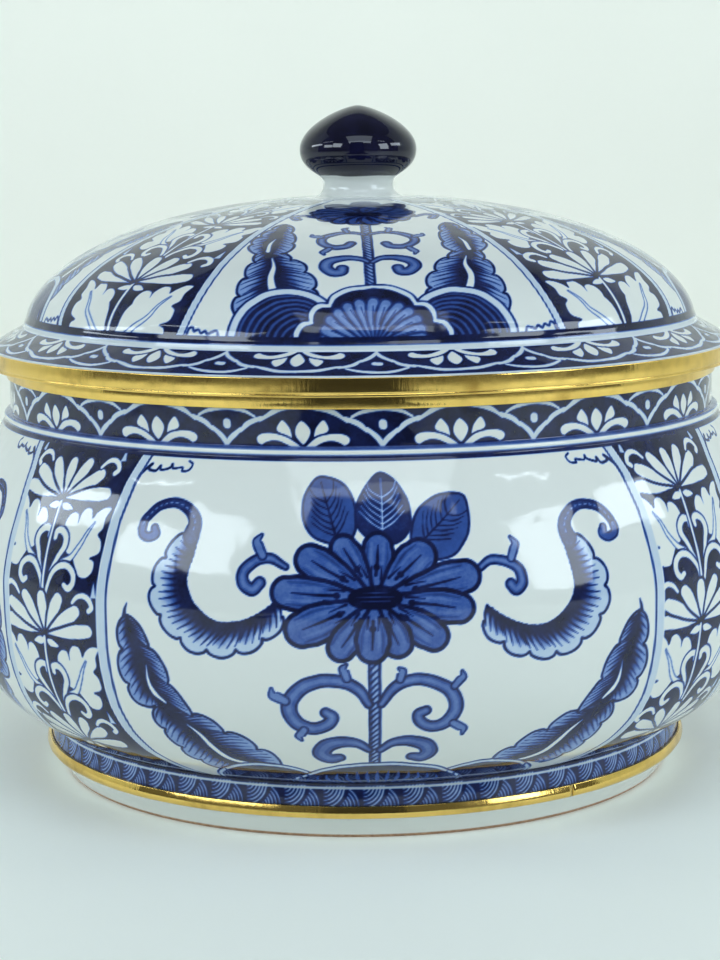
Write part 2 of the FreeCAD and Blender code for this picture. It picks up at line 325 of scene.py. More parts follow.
def crown_leaves(sheet):
    """Three pointed leaves above the flower; the middle one is the darkest and has white veins."""
    left = spline([(-21.6, 116.8), (-24.6, 113.8), (-26.7, 109), (-26, 103), (-22.5, 98), (-15, 95.5),
                   (-10, 99), (-9.6, 106), (-11.6, 112), (-15.8, 115.6)], closed=True)
    right = spline([(26.2, 109.6), (20.4, 110.9), (13.5, 108.4), (9, 103), (7.8, 96), (13, 91), (20, 91.5),
                    (25, 96.4), (26.8, 103)], closed=True)
    middle = spline([(-1.3, 118), (-5.6, 114.4), (-9.2, 108), (-8.8, 101), (-3, 96), (3.5, 96), (7.6, 101),
                     (7.4, 108.4), (4, 114.4)], closed=True)
    for shape, root, tip in ((left, (-15.5, 97), (-21.2, 115.6)), (right, (11, 96), (25, 109))):
        sheet.fill(shape, MID + 0.04, 0.8)
        leaf_veins(sheet, root, tip, 6.2, NAVY)
    sheet.fill(middle, DEEP + 0.04, 0.8)
    leaf_veins(sheet, (-1, 99), (-1.2, 116.6), 7.4, PALE)


def leaf_veins(sheet, root, tip, spread, ink):
    root = np.asarray(root, float)
    reach = np.asarray(tip, float) - root
    side = np.array([-reach[1], reach[0]]) / np.hypot(*reach)
    sheet.ribbon(root + reach * np.array([[0.1], [0.55], [0.97]]), [0.6, 0.5, 0.25], ink)
    for t in (0.06, 0.16, 0.27, 0.38, 0.5, 0.62):
        for way in (-1, 1):
            start = root + reach * t
            middle = root + reach * (t + 0.14) + side * way * spread * 0.5
            end = root + reach * (t + 0.32) + side * way * spread * (1 - t * 0.55)
            sheet.ribbon(spline([start, middle, end], 4), [0.4, 0.42, 0.2], ink)


def petal_strokes(sheet, centre, tip, width):
    """The brush's own streaks inside a petal: darker along its sides, paler beside the vein."""
    reach = tip - centre
    across = np.array([-reach[1], reach[0]]) / np.hypot(*reach) * width
    for side, ink in ((-0.36, MID + 0.1), (-0.2, MID - 0.07), (0.22, MID - 0.09), (0.37, MID + 0.12)):
        path = [centre + reach * 0.34 + across * side * 0.5, centre + reach * 0.62 + across * side * 0.9,
                centre + reach * 0.86 + across * side * 0.85]
        sheet.ribbon(spline(path, 4), [0.3, 0.9, 0.4], ink)


def main_flower(sheet):
    """The open flower: round petals outlined in navy, each with a vein and a dot."""
    tips = [(-2.5, 99.6, 9.6), (-15.8, 98.6, 8.8), (14.6, 95.4, 11.5), (-28.4, 93.6, 10.2),
            (29.4, 86.2, 10.5), (-36.3, 81.4, 10.2), (26.9, 75, 9.6), (-31.4, 67.4, 11.5), (17.8, 64.6, 9.6),
            (-16.8, 60.6, 9.0), (5, 61.3, 9.6), (-5.4, 59.4, 10.0)]
    tips = [(*(HEART + 0.955 * (np.array([x, y]) - HEART)), width) for x, y, width in tips]
    for x, y, width in tips:
        petal(sheet, HEART, (x, y), width, MID - 0.04, 0.14, True, 1.3, NAVY)
        petal_strokes(sheet, HEART, np.array([x, y]), width)
        reach = np.array([x, y]) - HEART
        for side in (-0.32, 0.32):
            across = np.array([-reach[1], reach[0]]) / np.hypot(*reach) * width * side
            start = HEART + reach * 0.3 + across * 0.5
            sheet.ribbon([start, start + reach * 0.2], [0.8, 0.2], NAVY)
        spot = HEART + reach * (0.36 + 0.12 * abs(reach[1]) / np.hypot(*reach))
        sheet.dot(spot[0], spot[1], 1.0, NAVY)
    turn = np.linspace(0, 2 * math.pi, 40, endpoint=False)
    sheet.fill(HEART + np.stack([8.3 * np.cos(turn), 3.7 * np.sin(turn)], -1), 1.0)
    for y in (-1.1, 0.2, 1.4):
        half = 6.2 - 1.6 * abs(y)
        sheet.ribbon([(HEART[0] - half, HEART[1] + y), (HEART[0] + half, HEART[1] + y)], [0.1, 0.45, 0.1],
                     MID + 0.1)


def flower_tendrils(sheet):
    """Two curls beside the flower, each with a shoot on its back."""
    scroll(sheet, [(-31, 88.8), (-35.4, 91.2), (-40, 90.6), (-43.8, 87.4), (-44, 83.6), (-41, 81.8),
                   (-38.8, 84)],
           [1.6, 2.6, 3.0, 3.2, 3.4, 3.4, 3.2])
    bud(sheet, (-38.6, 92), (-40.6, 96.4), 2.8)
    scroll(sheet, [(28.6, 87.4), (32.6, 89.6), (37, 89), (41, 86.2), (42, 82.4), (39.8, 80.2), (38, 81.8)],
           [1.8, 2.4, 2.6, 2.8, 3.2, 3.2, 3.0])
    bud(sheet, (39, 89.6), (41, 94.2), 2.4, WASH + 0.1)


def stem_scrolls(sheet):
    """Two pairs of scrolls that spring from the stem."""
    scroll(sheet, [(-6, 46.5), (-9.4, 51.6), (-15.6, 54.2), (-22, 54), (-28, 50.6), (-30.6, 45),
                   (-28.8, 39.8), (-24.4, 37.8), (-19.4, 39), (-17.4, 42), (-19.4, 43.6)],
           [2.4, 3.2, 3.6, 3.8, 4.2, 4.6, 4.6, 4.2, 3.8, 3.6, 3.2])
    bud(sheet, (-12.8, 55), (-13.8, 58.2), 2.5)
    bud(sheet, (-31.6, 47.4), (-35.4, 49.2), 3.0)
    bud(sheet, (-26.6, 37), (-28.4, 34.4), 2.6)
    scroll(sheet, [(-2.4, 46.5), (1.4, 51.6), (7, 54.2), (13, 53.6), (18.8, 50), (20.8, 44.8), (18.6, 39.8),
                   (14, 38), (10, 39.6), (9.2, 42.6), (11.6, 43.8)],
           [2.2, 3.0, 3.2, 3.4, 3.8, 4.0, 4.0, 3.6, 3.4, 3.2, 2.8])
    bud(sheet, (3.4, 54.4), (4, 57.2), 2.4)
    bud(sheet, (20.2, 51.6), (22.8, 54.4), 2.3)
    bud(sheet, (20.6, 38.6), (24, 36.2), 2.6)
    scroll(sheet, [(-6, 28.4), (-9.4, 31.6), (-15, 32.2), (-20, 30.2), (-21.6, 26.6), (-19, 24.2),
                   (-16, 24.8)],
           [2.2, 3.2, 4.2, 5.4, 5.8, 5.0, 3.6])
    scroll(sheet, [(-2.4, 28.4), (1.6, 31.8), (7, 32.4), (12, 30.4), (13.8, 27), (11.4, 24.2), (8, 24.6)],
           [2.2, 3.0, 4.0, 5.0, 5.4, 4.6, 3.4])


def rope_stem(sheet, x, low, high, width, lean):
    """A pale stem striped like a rope, darker along its left side."""
    sheet.ribbon([(x, low), (x, high)], [width], WASH - 0.04, 0.8)
    sheet.ribbon([(x - 0.36 * width, low), (x - 0.36 * width, high)], [0.22 * width], MID)
    turns = int((high - low) / (0.62 * width))
    for k in range(turns):
        y = low + (k + 0.3) * (high - low) / turns
        rise = 0.42 * width * lean
        slope = [(x - 0.45 * width, y - rise), (x, y + 0.1 * rise), (x + 0.45 * width, y + rise)]
        sheet.ribbon(slope, [0.8, 0.6, 0.45], LINE)


def foot_clouds(sheet):
    """Lobed navy clouds along the bottom, each inside a white line."""
    side_arc = [(-66, 0), (-64, 8), (-58, 14.4), (-50, 18), (-41, 19), (-33, 17), (-27, 13), (-24, 6),
                (-24, 0)]
    middle_arc = [(-36, 0), (-34, 7), (-27, 13), (-21, 17), (-12, 19.6), (-3, 20.6), (7, 19.8), (16, 17.4),
                  (22, 13.6), (28, 7.4), (30, 0)]
    for arc in (side_arc, mirror(side_arc, -3.5, -0.5), middle_arc):
        path = spline(arc)
        sheet.fill(path, NAVY)
        sheet.ribbon(path, [2.9], LINE)
        sheet.ribbon(path, [1.5], PALE)
    for k in range(17):
        x = -33 + k * 3.75
        lift = 15.5 - 11 * abs((x + 3) / 33) ** 2
        sheet.ribbon(spline([(x * 0.8 - 0.6, 2), (x, lift * 0.6), (x * 0.98, lift)], 4), [1.4, 1.9, 0.6],
                     MID - 0.04)
    for k in range(11):
        x = -60 + k * 3.1
        for centre in (x, -7 - x):
            sheet.ribbon(spline([(centre, 2), (centre + 0.6, 9), (centre + 0.4, 13.6)], 4), [1.0, 1.3, 0.4],
                         DEEP)


def corner_flourish(sheet, place):
    """A little penned flourish in the panel's upper corner."""
    line = [(-90.4, 110), (-88.4, 113.8), (-85.2, 117.6), (-83.6, 119), (-84.6, 117.4), (-81.4, 116.6),
            (-80, 118.6), (-79.4, 117.2), (-76, 118.2), (-75.4, 119.4), (-74.6, 118), (-71, 118.6),
            (-70.8, 117.4), (-68.4, 117.8), (-67.4, 119.8), (-69, 121)]
    sheet.ribbon(spline(place(line)), [1.2, 0.85, 0.7, 0.6], NAVY)


def white_panel_of_bowl(sheet):
    for place in (np.asarray, lambda points: mirror(points, -0.2, 0.2)):
        corner_flourish(sheet, place)
    for place in (np.asarray, lambda points: mirror(points, -1.4, -2.6)):
        sickle_leaf(sheet, place)
    for place in (np.asarray, lambda points: mirror(points, 0.4, -2.2)):
        ground_leaf(sheet, place)
    rope_stem(sheet, STEM_X, 20, 62, 3.1, 1)
    stem_scrolls(sheet)
    crown_leaves(sheet)
    flower_tendrils(sheet)
    main_flower(sheet)
    foot_clouds(sheet)


def bowl_border(y):
    """Distance from a panel's middle to the edge of the navy beside it, at a height up the belly."""
    heights = [0, 6, 12, 20, 30, 40, 60, 80, 100, 112, 123]
    edges = [74, 80, 84.5, 89.3, 92.6, 94.3, 95.4, 95.3, 94.4, 92.2, 88.4]
    return np.interp(y, heights, edges)


# ---- the navy panels ------------------------------------------------------------------

def placer(x, y, across, up):
    """Sets points out from a hub at x and y, on either side of it."""
    def place(points, way=1):
        return np.array([(x + way * a * across, y + b * up) for a, b in points])
    return place


def palmette(sheet, x, y, across, up):
    """A seven-petalled fan with a hook at each side; x and y are the fan's hub."""
    place = placer(x, y, across, up)
    tips = [(-23, 3.2), (-20, 9.7), (-11.5, 13.6), (-1.4, 15), (8, 14.9), (16.5, 11), (21.8, 4.2)]
    for tip in tips:
        petal(sheet, (x, y + 0.6 * up), place([tip])[0], 5.5 * across, WHITE, 0.06, False, 0.9, NAVY)
    for way in (-1, 1):
        hook = [(13.6, 12.4), (15.8, 14.6), (18.4, 15.2), (20.8, 14), (21.8, 11.8), (20.6, 10.6)]
        sheet.ribbon(spline(place(hook, way)), np.array([1.6, 2.0, 2.3, 2.4, 2.3, 2.2]) * across, WHITE, 0.4,
                     NAVY)
        sheet.fill(place([(21.2, 14.8), (22.2, 20.2), (23.6, 15.2)], way), PALE)
        sheet.fill(spline(place([(0.6, -1.2), (3.4, -0.8), (6.2, -2.8), (2, -3.2)], way), 4, True), WHITE)


def leaf_pair(sheet, x, y, across, up, curls=True):
    """Two serrated white leaves on a slender stem, mostly with two curls under them."""
    leaf = [(4.9, 35.2), (5.4, 38.4), (7.4, 40.3), (9.9, 39.9), (10.6, 37.3), (10.9, 39.9), (13.0, 42.4),
            (15.7, 42.1), (16.8, 39.3), (18.2, 41.2), (20.9, 43.2), (23.6, 43.0), (22.4, 39.8), (22.4, 36.6),
            (20.6, 34.5), (22.4, 32.6), (22.5, 28.8), (19.0, 27.0), (21.2, 25.8), (21.2, 22.6), (18.6, 20.5),
            (15.4, 20.7), (13.4, 23.6), (11.2, 26.4), (8.2, 27.6), (6.9, 31)]
    vein = [(7.2, 24.0), (11.0, 26.4), (13.8, 30.2), (15.6, 34.2), (18.0, 38.0)]
    if not curls:
        vein = [(1.2, 22.2), (5.6, 22.6), (9.6, 26.0), *vein[2:]]
    bract = [(2.4, 20.8), (4.8, 25.6), (7, 29.6), (6.6, 32.6), (4.2, 34.2), (1.8, 33.6), (1.6, 31.6)]
    curl = [(0.6, 13), (2.4, 18.3), (4.9, 21.9), (7.6, 23.3), (10.6, 23.1), (12.9, 21.2), (13.2, 18.2),
            (11.4, 16.4), (9.6, 17.4)]
    lobe = [(2.4, 20), (2.9, 26), (4.3, 33), (8, 36.4), (14, 30), (18, 20)]
    place = placer(x, y, across, up)
    for way in (-1, 1):
        sheet.fill(spline(place(leaf, way), 4, True), WHITE)
        if not curls:
            sheet.fill(spline(place(lobe, way), 4, True), WHITE)
        widths = np.array([2.6, 2.0, 1.6, 1.1, 0.5]) * across
        sheet.ribbon(spline(place(vein, way)), widths, WHITE, 0.42 * across, MID + 0.1)
        if not curls:
            continue
        widths = np.array([1.6, 2.4, 2.9, 3.0, 3.0, 2.8, 2.4]) * across
        sheet.ribbon(spline(place(bract, way)), widths, WHITE, 0.6 * across, LINE)
        widths = np.array([1.8, 2.2, 2.6, 2.8, 2.8, 2.8, 2.8, 2.8, 2.4]) * across
        sheet.ribbon(spline(place(curl, way)), widths, WHITE, 0.6 * across, NAVY)
    stem = place([(-0.6, 14), (-1.0, 30), (-0.6, 43.5)])
    sheet.ribbon(stem, [2.1 * across], LINE)
    sheet.ribbon(stem, [1.1 * across], WHITE)


def navy_panel_of_bowl(sheet):
    for hub, up in ((17.5, 0.97), (60.3, 1.0)):
        leaf_pair(sheet, -2, hub, 1.0, up)
    for hub in (17.5, 60.3, 104.2):
        palmette(sheet, -2, hub, 1.0, 0.98)


def navy_panel_of_lid(sheet):
    leaf_pair(sheet, 0, -21, 1.06, 0.96, False)
    leaf_pair(sheet, 0, 20.5, 0.9, 0.92)
    leaf_pair(sheet, 0, 61, 0.6, 0.76)
    for hub, across, up in ((20.5, 1.0, 0.98), (61, 0.74, 0.8), (94, 0.44, 0.6)):
        palmette(sheet, 0, hub, across, up)


# ---- the white panel of the lid -------------------------------------------------------

def lid_border(y):
    heights = [0, 16, 32, 50, 67, 83, 96, 108, 118]
    edges = [64.6, 57, 49.5, 40.3, 31, 22.4, 15.6, 10, 7]
    return np.interp(y, heights, edges)


def lid_cloud(sheet):
    """A cusped half-round at the panel's foot that holds a pale fan of petals."""
    half = [[(-23.4, 0), (-23.8, 3.2), (-22, 6), (-18.8, 7)],
            [(-19, 7), (-18.6, 10.4), (-16.4, 12.8), (-13.2, 13)],
            [(-13.4, 13), (-11.4, 16.6), (-6.6, 19.6), (0, 20.6)]]
    left = np.vstack([spline(part) for part in half])
    outline = np.vstack([left, mirror(left)[::-1]])
    sheet.fill(outline, NAVY)
    for k in range(13):
        angle = math.radians(4 + k * 172 / 12)
        reach = 14.4 + 1.4 * math.sin(angle)
        tip = (-reach * 1.14 * math.cos(angle), 0.6 + reach * 0.96 * math.sin(angle))
        petal(sheet, (0, -1), tip, 4.2, MID - 0.14, 0.1, False, 0.8, DEEP)
        petal(sheet, (0, -1), (tip[0] * 0.86, tip[1] * 0.86), 1.9, WASH + 0.04, 0.4, False, 0.0)
        sheet.ribbon([(tip[0] * 0.4, tip[1] * 0.4), (tip[0] * 0.8, tip[1] * 0.8)], [0.5, 0.3], DEEP)
    sides = [side for part in half for side in (spline(part), mirror(spline(part)))]
    for side in sides:
        sheet.ribbon(side, [2.7], LINE)
    for side in sides:
        sheet.ribbon(side, [1.1, 1.7, 1.7, 1.2], FAINT)


def lid_rock(sheet, place):
    """A round rock of navy, ringed like a cut stone."""
    rim = [(-45, -1), (-43.4, 6), (-38.6, 13), (-31.6, 17.6), (-24.6, 18.6), (-18.6, 16.6), (-14.6, 12.6),
           (-14, 6), (-15, -1)]
    path = spline(place(rim))
    sheet.fill(path, NAVY)
    for k in range(1, 10):
        size = 1 - k * 0.094
        ring = [(-20 + (a + 20) * size, b * size) for a, b in rim]
        sheet.ribbon(spline(place(ring)), [0.95], MID + 0.06)
    sheet.ribbon(path, [3.6], LINE)
    sheet.ribbon(path, [2.3], PALE * 0.7)


def lid_feather(sheet, place):
    """The dark leaf that rises behind a rock, in two lengths."""
    low_spine = [(-31.6, 12), (-31, 20), (-30.6, 28), (-31.2, 35), (-32.4, 41)]
    left_rim = [(-42.6, 8), (-42.6, 16), (-39.8, 25), (-37.4, 33), (-33.6, 41.4)]
    right_rim = [(-18, 11), (-17.6, 20), (-19.6, 27), (-23.4, 34), (-31, 41.4)]
    sheet.plume(place(low_spine), place(left_rim), 4, 1.9, 18, WASH, 0.9, -0.16, 0.8)
    sheet.plume(place(low_spine), place(right_rim), 4, 1.9, 18, WASH, 0.9, -0.16, 0.8)
    high_spine = [(-33, 38.5), (-31.8, 44), (-30.4, 51), (-28.8, 57), (-26.6, 63.4)]
    left_rim = [(-36.4, 38.4), (-38.6, 44), (-35.4, 51), (-31.8, 57.4), (-27, 63.6)]
    right_rim = [(-27.4, 38.6), (-24.2, 44), (-24.2, 51), (-24.4, 58), (-26.2, 63.6)]
    sheet.plume(place(high_spine), place(left_rim), 4, 1.5, 14, WASH, 0.86, -0.14, 0.75)
    sheet.plume(place(high_spine), place(right_rim), 3, 1.2, 14, WASH, 0.86, -0.14, 0.75)
    sheet.ribbon(spline(place([(-30.4, 17), (-31.6, 25), (-30.4, 31), (-31, 36)])), [2.8, 2.1, 1.3, 0.3],
                 WHITE)
    sheet.ribbon(spline(place([(-32.6, 40.4), (-31.8, 45), (-29.8, 49.4)])), [1.5, 1.2, 0.3], WHITE)


def lid_scrolls(sheet):
    pairs = [
        ([(-0.6, 33.4), (-3.6, 35.6), (-8, 36), (-12.4, 34.2), (-14, 30.8), (-12, 28), (-9.2, 28),
          (-8.6, 30)],
         [1.6, 2.2, 2.8, 3.6, 3.8, 3.6, 3.4, 3.4]),
        ([(-0.6, 53.4), (-4.6, 55), (-9.6, 54.2), (-14, 50.8), (-14.6, 46.6), (-11.4, 43.4), (-7, 43.8),
          (-5.4, 46)],
         [1.4, 1.8, 2.1, 2.5, 2.8, 2.9, 2.8, 2.8]),
    ]
    for points, widths in pairs:
        scroll(sheet, points, widths)
        scroll(sheet, mirror(points), widths)
    for way in (-1, 1):
        bud(sheet, (way * 6.4, 55.6), (way * 7, 58.4), 1.8)
        bud(sheet, (way * 14.8, 51), (way * 17.4, 52), 2.0)
        bud(sheet, (way * 12.6, 42.4), (way * 14.8, 39.8), 2.0)


def lid_flower(sheet):
    """The flower under the knob."""
    for x, y in ((-9.6, 93), (11.4, 93), (1, 99)):
        petal(sheet, (0.5 * x, 78), (x, y), 9.4, DEEP, 0.1, True, 0.9, LINE)
    count = 16
    for k in range(count):
        angle = math.radians(90 + 180 / count + k * 360 / count)
        tip = (-0.6 + 17.4 * math.cos(angle), 75.6 + 13 * math.sin(angle))
        petal(sheet, (-0.6, 75.6), tip, 6.4, MID + 0.06, 0.14, True, 1.0, NAVY)
    sheet.ribbon([(-4, 75.6), (3, 75.6)], [5.4, 6.4, 5.4], 1.0)
    for way in (-1, 1):
        scroll(sheet, [(way * 17, 72), (way * 20.4, 74), (way * 23.4, 72), (way * 22.6, 69.4)],
               [1.4, 2.2, 2.6, 3.0])


def lid_flourish(sheet, way):
    line = [(60.4, 1.6), (59.0, 4.2), (57.6, 4.8), (57.2, 3.6), (55.6, 4.2), (54.8, 3.0), (53.2, 3.8),
            (52.4, 2.8), (50.6, 3.4), (49.2, 3.6), (48.8, 1.6)]
    sheet.ribbon(spline([(way * a, b) for a, b in line]), [0.8], DEEP)


def white_panel_of_lid(sheet):
    for place in (np.asarray, mirror):
        lid_feather(sheet, place)
        lid_rock(sheet, place)
    lid_flourish(sheet, -1)
    lid_flourish(sheet, 1)
    rope_stem(sheet, -0.4, 19, 64, 2.7, -1)
    lid_scrolls(sheet)
    lid_flower(sheet)
    lid_cloud(sheet)


# ---- narrow bands ---------------------------------------------------------------------

NECK_REPEATS = 16
ARCH_SPAN = 48.3
BAND_HEIGHT = 11.5          # the lotus band is drawn this high and stretched to fit


def lotus_band(sheet, height, hanging=False):
    """One lotus under a cusped arch, and half of the small arch on each side of it."""
    half = ARCH_SPAN / 2
    rise = 0.87 if hanging else 1.0
    crest = 10.9 if hanging else 12.3
    dot, dot_width = ([(-0.7, 6.7), (0.9, 6.7)], 1.8) if hanging else ([(0.3, 6.3), (0.3, 7.1)], 2.4)

    def place(points, way=1, middle=0.0):
        p = np.asarray(points, float) * [way, height / BAND_HEIGHT * rise] + [middle, 0]
        if hanging:
            p[:, 1] = height - p[:, 1]
        return p

    for way in (-1, 1):
        arch = [[(24.2, -0.2), (22.8, 2.5), (19.5, 5.2)], [(19.4, 4.6), (16.9, 7.1), (12.9, 8.6)],
                [(13.3, 7.9), (9.4, 0.85 * crest), (5.0, 0.97 * crest), (0, crest)]]
        for span in arch:
            sheet.ribbon(spline(place(span, way)), np.array([1.0, 1.75, 1.8, 1.4]) * rise, FAINT)
        cap = [(-9.2, 9.2), (-5.6, 10.8), (0, 11.5), (5.6, 10.8), (9.2, 9.2)]
        sheet.ribbon(spline(place(cap, 1, way * half)), [0.9, 1.3, 1.4, 1.3, 0.9], FAINT)
        sheet.ribbon(place(dot, 1, way * half), [dot_width], FAINT)
        side = [(3.3, 2.6), (5.4, 3.2), (8.0, 4.6), (8.1, 6.3), (6.4, 8.3), (4.4, 6.6), (3.5, 4.8)]
        sheet.fill(spline(place(side, way), 5, True), WHITE, 0.45, NAVY)
    middle = [(0, 0.4), (2.1, 2.8), (2.6, 5.1), (1.5, 7.2), (-0.2, 8.4), (-1.8, 7.2), (-2.7, 5.1),
              (-2.2, 2.8)]
    sheet.fill(spline(place(middle), 5, True), WHITE, 0.55, NAVY)
    curl = [(0.4, -0.3), (2.6, 1.9), (5.4, 3.5), (9.4, 4.3), (13.0, 4.0), (14.6, 2.6), (14.3, 0.9),
            (12.8, 0.2), (11.3, 1.1), (9.4, 1.7), (7.2, 1.5), (5.0, 0.5), (3.0, -0.5)]
    for way in (-1, 1):
        sheet.fill(spline(place(curl, way), 5, True), WHITE, 0.5, NAVY)


WAVE_REPEATS = 56
WAVE_SPAN = 12.5


def wave_band(sheet, height):
    """Pale arcs in quarter rounds that lean against each other by turns, like a basket's weave."""
    radii = np.arange(1.0, 7.4, 1.12)
    low_angles = np.radians(np.arange(0, 91, 10))
    for k in (-1, 0, 1):
        x = k * WAVE_SPAN + 3.6
        for r in radii:
            arc = np.stack([x + r * np.cos(low_angles), r * np.sin(low_angles)], -1)
            sheet.ribbon(arc, [0.3, 0.56, 0.5, 0.2], PALE + 0.06)
    for k in (-1, 0, 1):
        x = k * WAVE_SPAN - 0.8
        rim = np.stack([x + 7.9 * np.cos(low_angles), height + 0.4 - 7.9 * np.sin(low_angles)], -1)
        sheet.fill(np.vstack([rim, [(x, height + 0.4)]]), LINE)
        for r in radii:
            arc = np.stack([x + r * np.cos(low_angles), height + 0.4 - r * np.sin(low_angles)], -1)
            sheet.ribbon(arc, [0.5, 0.6, 0.5, 0.25], PALE + 0.04)


# ---- sheets wrapped round the pot -----------------------------------------------------

BELLY_REFERENCE = 143.4         # the belly's sheets are as wide as the pot at its widest
DOME_REFERENCE = 116            # and the dome's are spaced for the dome at its base
FRONT_AZIMUTH = math.radians(2.9)
FRONT_HALF = math.radians(38.0)
SIDE_HALF = math.radians(34.6)
NAVY_HALF = (math.pi / 2 - FRONT_HALF - SIDE_HALF) / 2
LID_AZIMUTH = math.radians(2.0)
BELLY_SHEET = 99                # half-widths of the belly's white and navy sheets
NAVY_SHEET = 30


def blend_columns(ink, positions, wanted):
    """Values of a sheet at other places across it, row by row."""
    at = np.interp(wanted, positions, np.arange(len(positions)))
    left = np.clip(at.astype(int), 0, len(positions) - 2)
    share = at - left
    return ink[:, left] * (1 - share) + ink[:, left + 1] * share


def cover(ink, amount, strength):
    """Lays a strength of cobalt over whole rings, as much as amount says for each ring."""
    return ink + amount[:, None] * (strength - ink)


def line_at(heights, level, half, edge=0.3):
    """How much of a thin ring's line lies at each height."""
    return ease((half - np.abs(heights - level)) / edge + 0.5)


def panel_place(azimuth):
    """Whether a column is in a white panel's reach, and its place across the white and navy sheets, in mm."""
    turn = (azimuth - FRONT_AZIMUTH + math.pi) % math.pi
    turn = np.where(turn > math.pi / 2, turn - math.pi, turn)
    away = np.abs(turn)
    side = np.sign(turn) + (turn == 0)
    front = away < FRONT_HALF
    flank = away > FRONT_HALF + 2 * NAVY_HALF
    x_front = turn * BELLY_REFERENCE
    x_flank = -side * (math.pi / 2 - away) * FRONT_HALF / SIDE_HALF * BELLY_REFERENCE
    x_white = np.where(flank, x_flank, x_front)
    x_navy = side * (away - FRONT_HALF - NAVY_HALF) * BELLY_REFERENCE
    return front | flank, x_white, x_navy


def bordered(white, navy, x_white, edge, scale=1.0):
    """White panel inside its border, navy outside it, with the pale band and blue line between."""
    depth = (edge - np.abs(x_white)) / scale
    ink = navy + (white - navy) * ease(depth / (2 * SOFT) + 0.5)
    band = ease((depth - 0.2) / 0.5) * ease((3.6 - depth) / 0.5)
    ink = ink + band * (PALE * 0.8 - ink)
    line = ease((depth - 3.3) / 0.4) * ease((4.7 - depth) / 0.4)
    return ink + line * (MID + 0.12 - ink)


def belly_ink(heights, azimuths):
    """Cobalt on the belly, for rings at these heights along it and columns at these azimuths."""
    across = np.arange(-BELLY_SHEET, BELLY_SHEET + 0.1, SHEET_STEP)
    white = Sheet(np.broadcast_to(across, (len(heights), len(across))), heights)
    white_panel_of_bowl(white)
    narrow = np.arange(-NAVY_SHEET, NAVY_SHEET + 0.1, SHEET_STEP)
    navy = Sheet(np.broadcast_to(narrow, (len(heights), len(narrow))), heights, NAVY)
    navy_panel_of_bowl(navy)
    in_white, x_white, x_navy = panel_place(azimuths)
    whites = blend_columns(white.ink, across, x_white)
    # from a white panel's middle to the middle of the navy beside it
    between = (FRONT_HALF + NAVY_HALF) * BELLY_REFERENCE
    x_far = np.where(in_white, np.sign(x_white) * (np.abs(x_white) - between), x_navy)
    navies = blend_columns(navy.ink, narrow, np.clip(x_far, -NAVY_SHEET, NAVY_SHEET))
    reach = np.where(in_white, np.abs(x_white), between - np.abs(x_navy))
    ink = bordered(whites, navies, np.broadcast_to(reach, whites.shape), bowl_border(heights)[:, None])
    ink = cover(ink, ease((heights - 121.6) / 0.4), LINE)
    return cover(ink, ease((2.2 - heights) / 0.5), NAVY)


def dome_ink(heights, radii, azimuths):
    """Cobalt on the dome, for rings at these heights along it."""
    step = SHEET_STEP / DOME_REFERENCE
    half = math.pi / 4
    angle = np.arange(-half, half + step, step)
    white = Sheet(angle[None] * radii[:, None], heights)
    white_panel_of_lid(white)
    navy = Sheet(angle[None] * radii[:, None], heights, NAVY)
    navy_panel_of_lid(navy)
    turn = (azimuths - LID_AZIMUTH + half) % (2 * half) - half
    whites = blend_columns(white.ink, angle, turn)
    away = np.where(turn > 0, turn - half, turn + half)
    navies = blend_columns(navy.ink, angle, away)
    ink = bordered(whites, navies, turn[None] * radii[:, None], lid_border(heights)[:, None], 0.66)
    ink = cover(ink, ease((2.4 - heights) / 0.4), NAVY)
    ink = cover(ink, ease((heights - 103.5) / 0.4), WHITE)
    for level in (104.6, 108.6):
        ink = cover(ink, line_at(heights, level, 0.55), DEEP)
    return ink


def repeated_ink(paint, heights, azimuths, repeats, span, ground, centre):
    """A short sheet, painted once and repeated round the pot."""
    across = np.arange(-span / 2, span / 2 + 0.1, 0.2)
    sheet = Sheet(np.broadcast_to(across, (len(heights), len(across))), heights, ground)
    paint(sheet)
    period = 2 * math.pi / repeats
    turn = (azimuths - centre + period / 2) % period - period / 2
    return blend_columns(sheet.ink, across, turn / period * span)


def neck_ink(z, azimuths, shoulder, bead_top):
    """The bead with its blue lines, then the lotus band, up to the rim's brass."""
    low = bead_top + 0.3
    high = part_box("rim_band")[0].z / MM
    centre = FRONT_AZIMUTH + math.pi / NECK_REPEATS
    ink = repeated_ink(lambda sheet: lotus_band(sheet, high - low), z - low, azimuths, NECK_REPEATS,
                       ARCH_SPAN, NAVY, centre)
    ink[z < low] = WHITE
    ink = cover(ink, line_at(z, shoulder + 0.2, 0.5), DEEP)
    return cover(ink, line_at(z, bead_top, 0.45), MID)


def foot_ink(z, top, azimuths):
    """White foot, then above the brass the wave band with a white line over it."""
    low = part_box("foot_band")[1].z / MM - 0.3
    high = top - 0.9
    ink = repeated_ink(lambda sheet: wave_band(sheet, high - low), z - low, azimuths, WAVE_REPEATS,
                       WAVE_SPAN, LINE, 0.0)
    ink[z < low] = WHITE
    return cover(ink, line_at(z, high, 0.42), PALE * 0.6)


def flange_ink(distance, azimuths):
    """A white line, the band of hanging lotuses, then a white bead, inwards from the edge."""
    low = 0.5
    high = 12.8
    centre = LID_AZIMUTH - math.radians(11)
    ink = repeated_ink(lambda sheet: lotus_band(sheet, high - low, True), distance - low, azimuths,
                       NECK_REPEATS, ARCH_SPAN, NAVY - 0.04, centre)
    ink[(distance < low) | (distance > high)] = PALE * 0.4
    return ink


# ---- turned meshes --------------------------------------------------------------------

CORNER = math.radians(24)       # a profile that turns more than this has a corner


def node_points(node):
    """A CAD node's vertices, in mm."""
    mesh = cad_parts[node].data
    place = np.empty(len(mesh.vertices) * 3, np.float32)
    mesh.vertices.foreach_get("co", place)
    return place.reshape(-1, 3) / MM


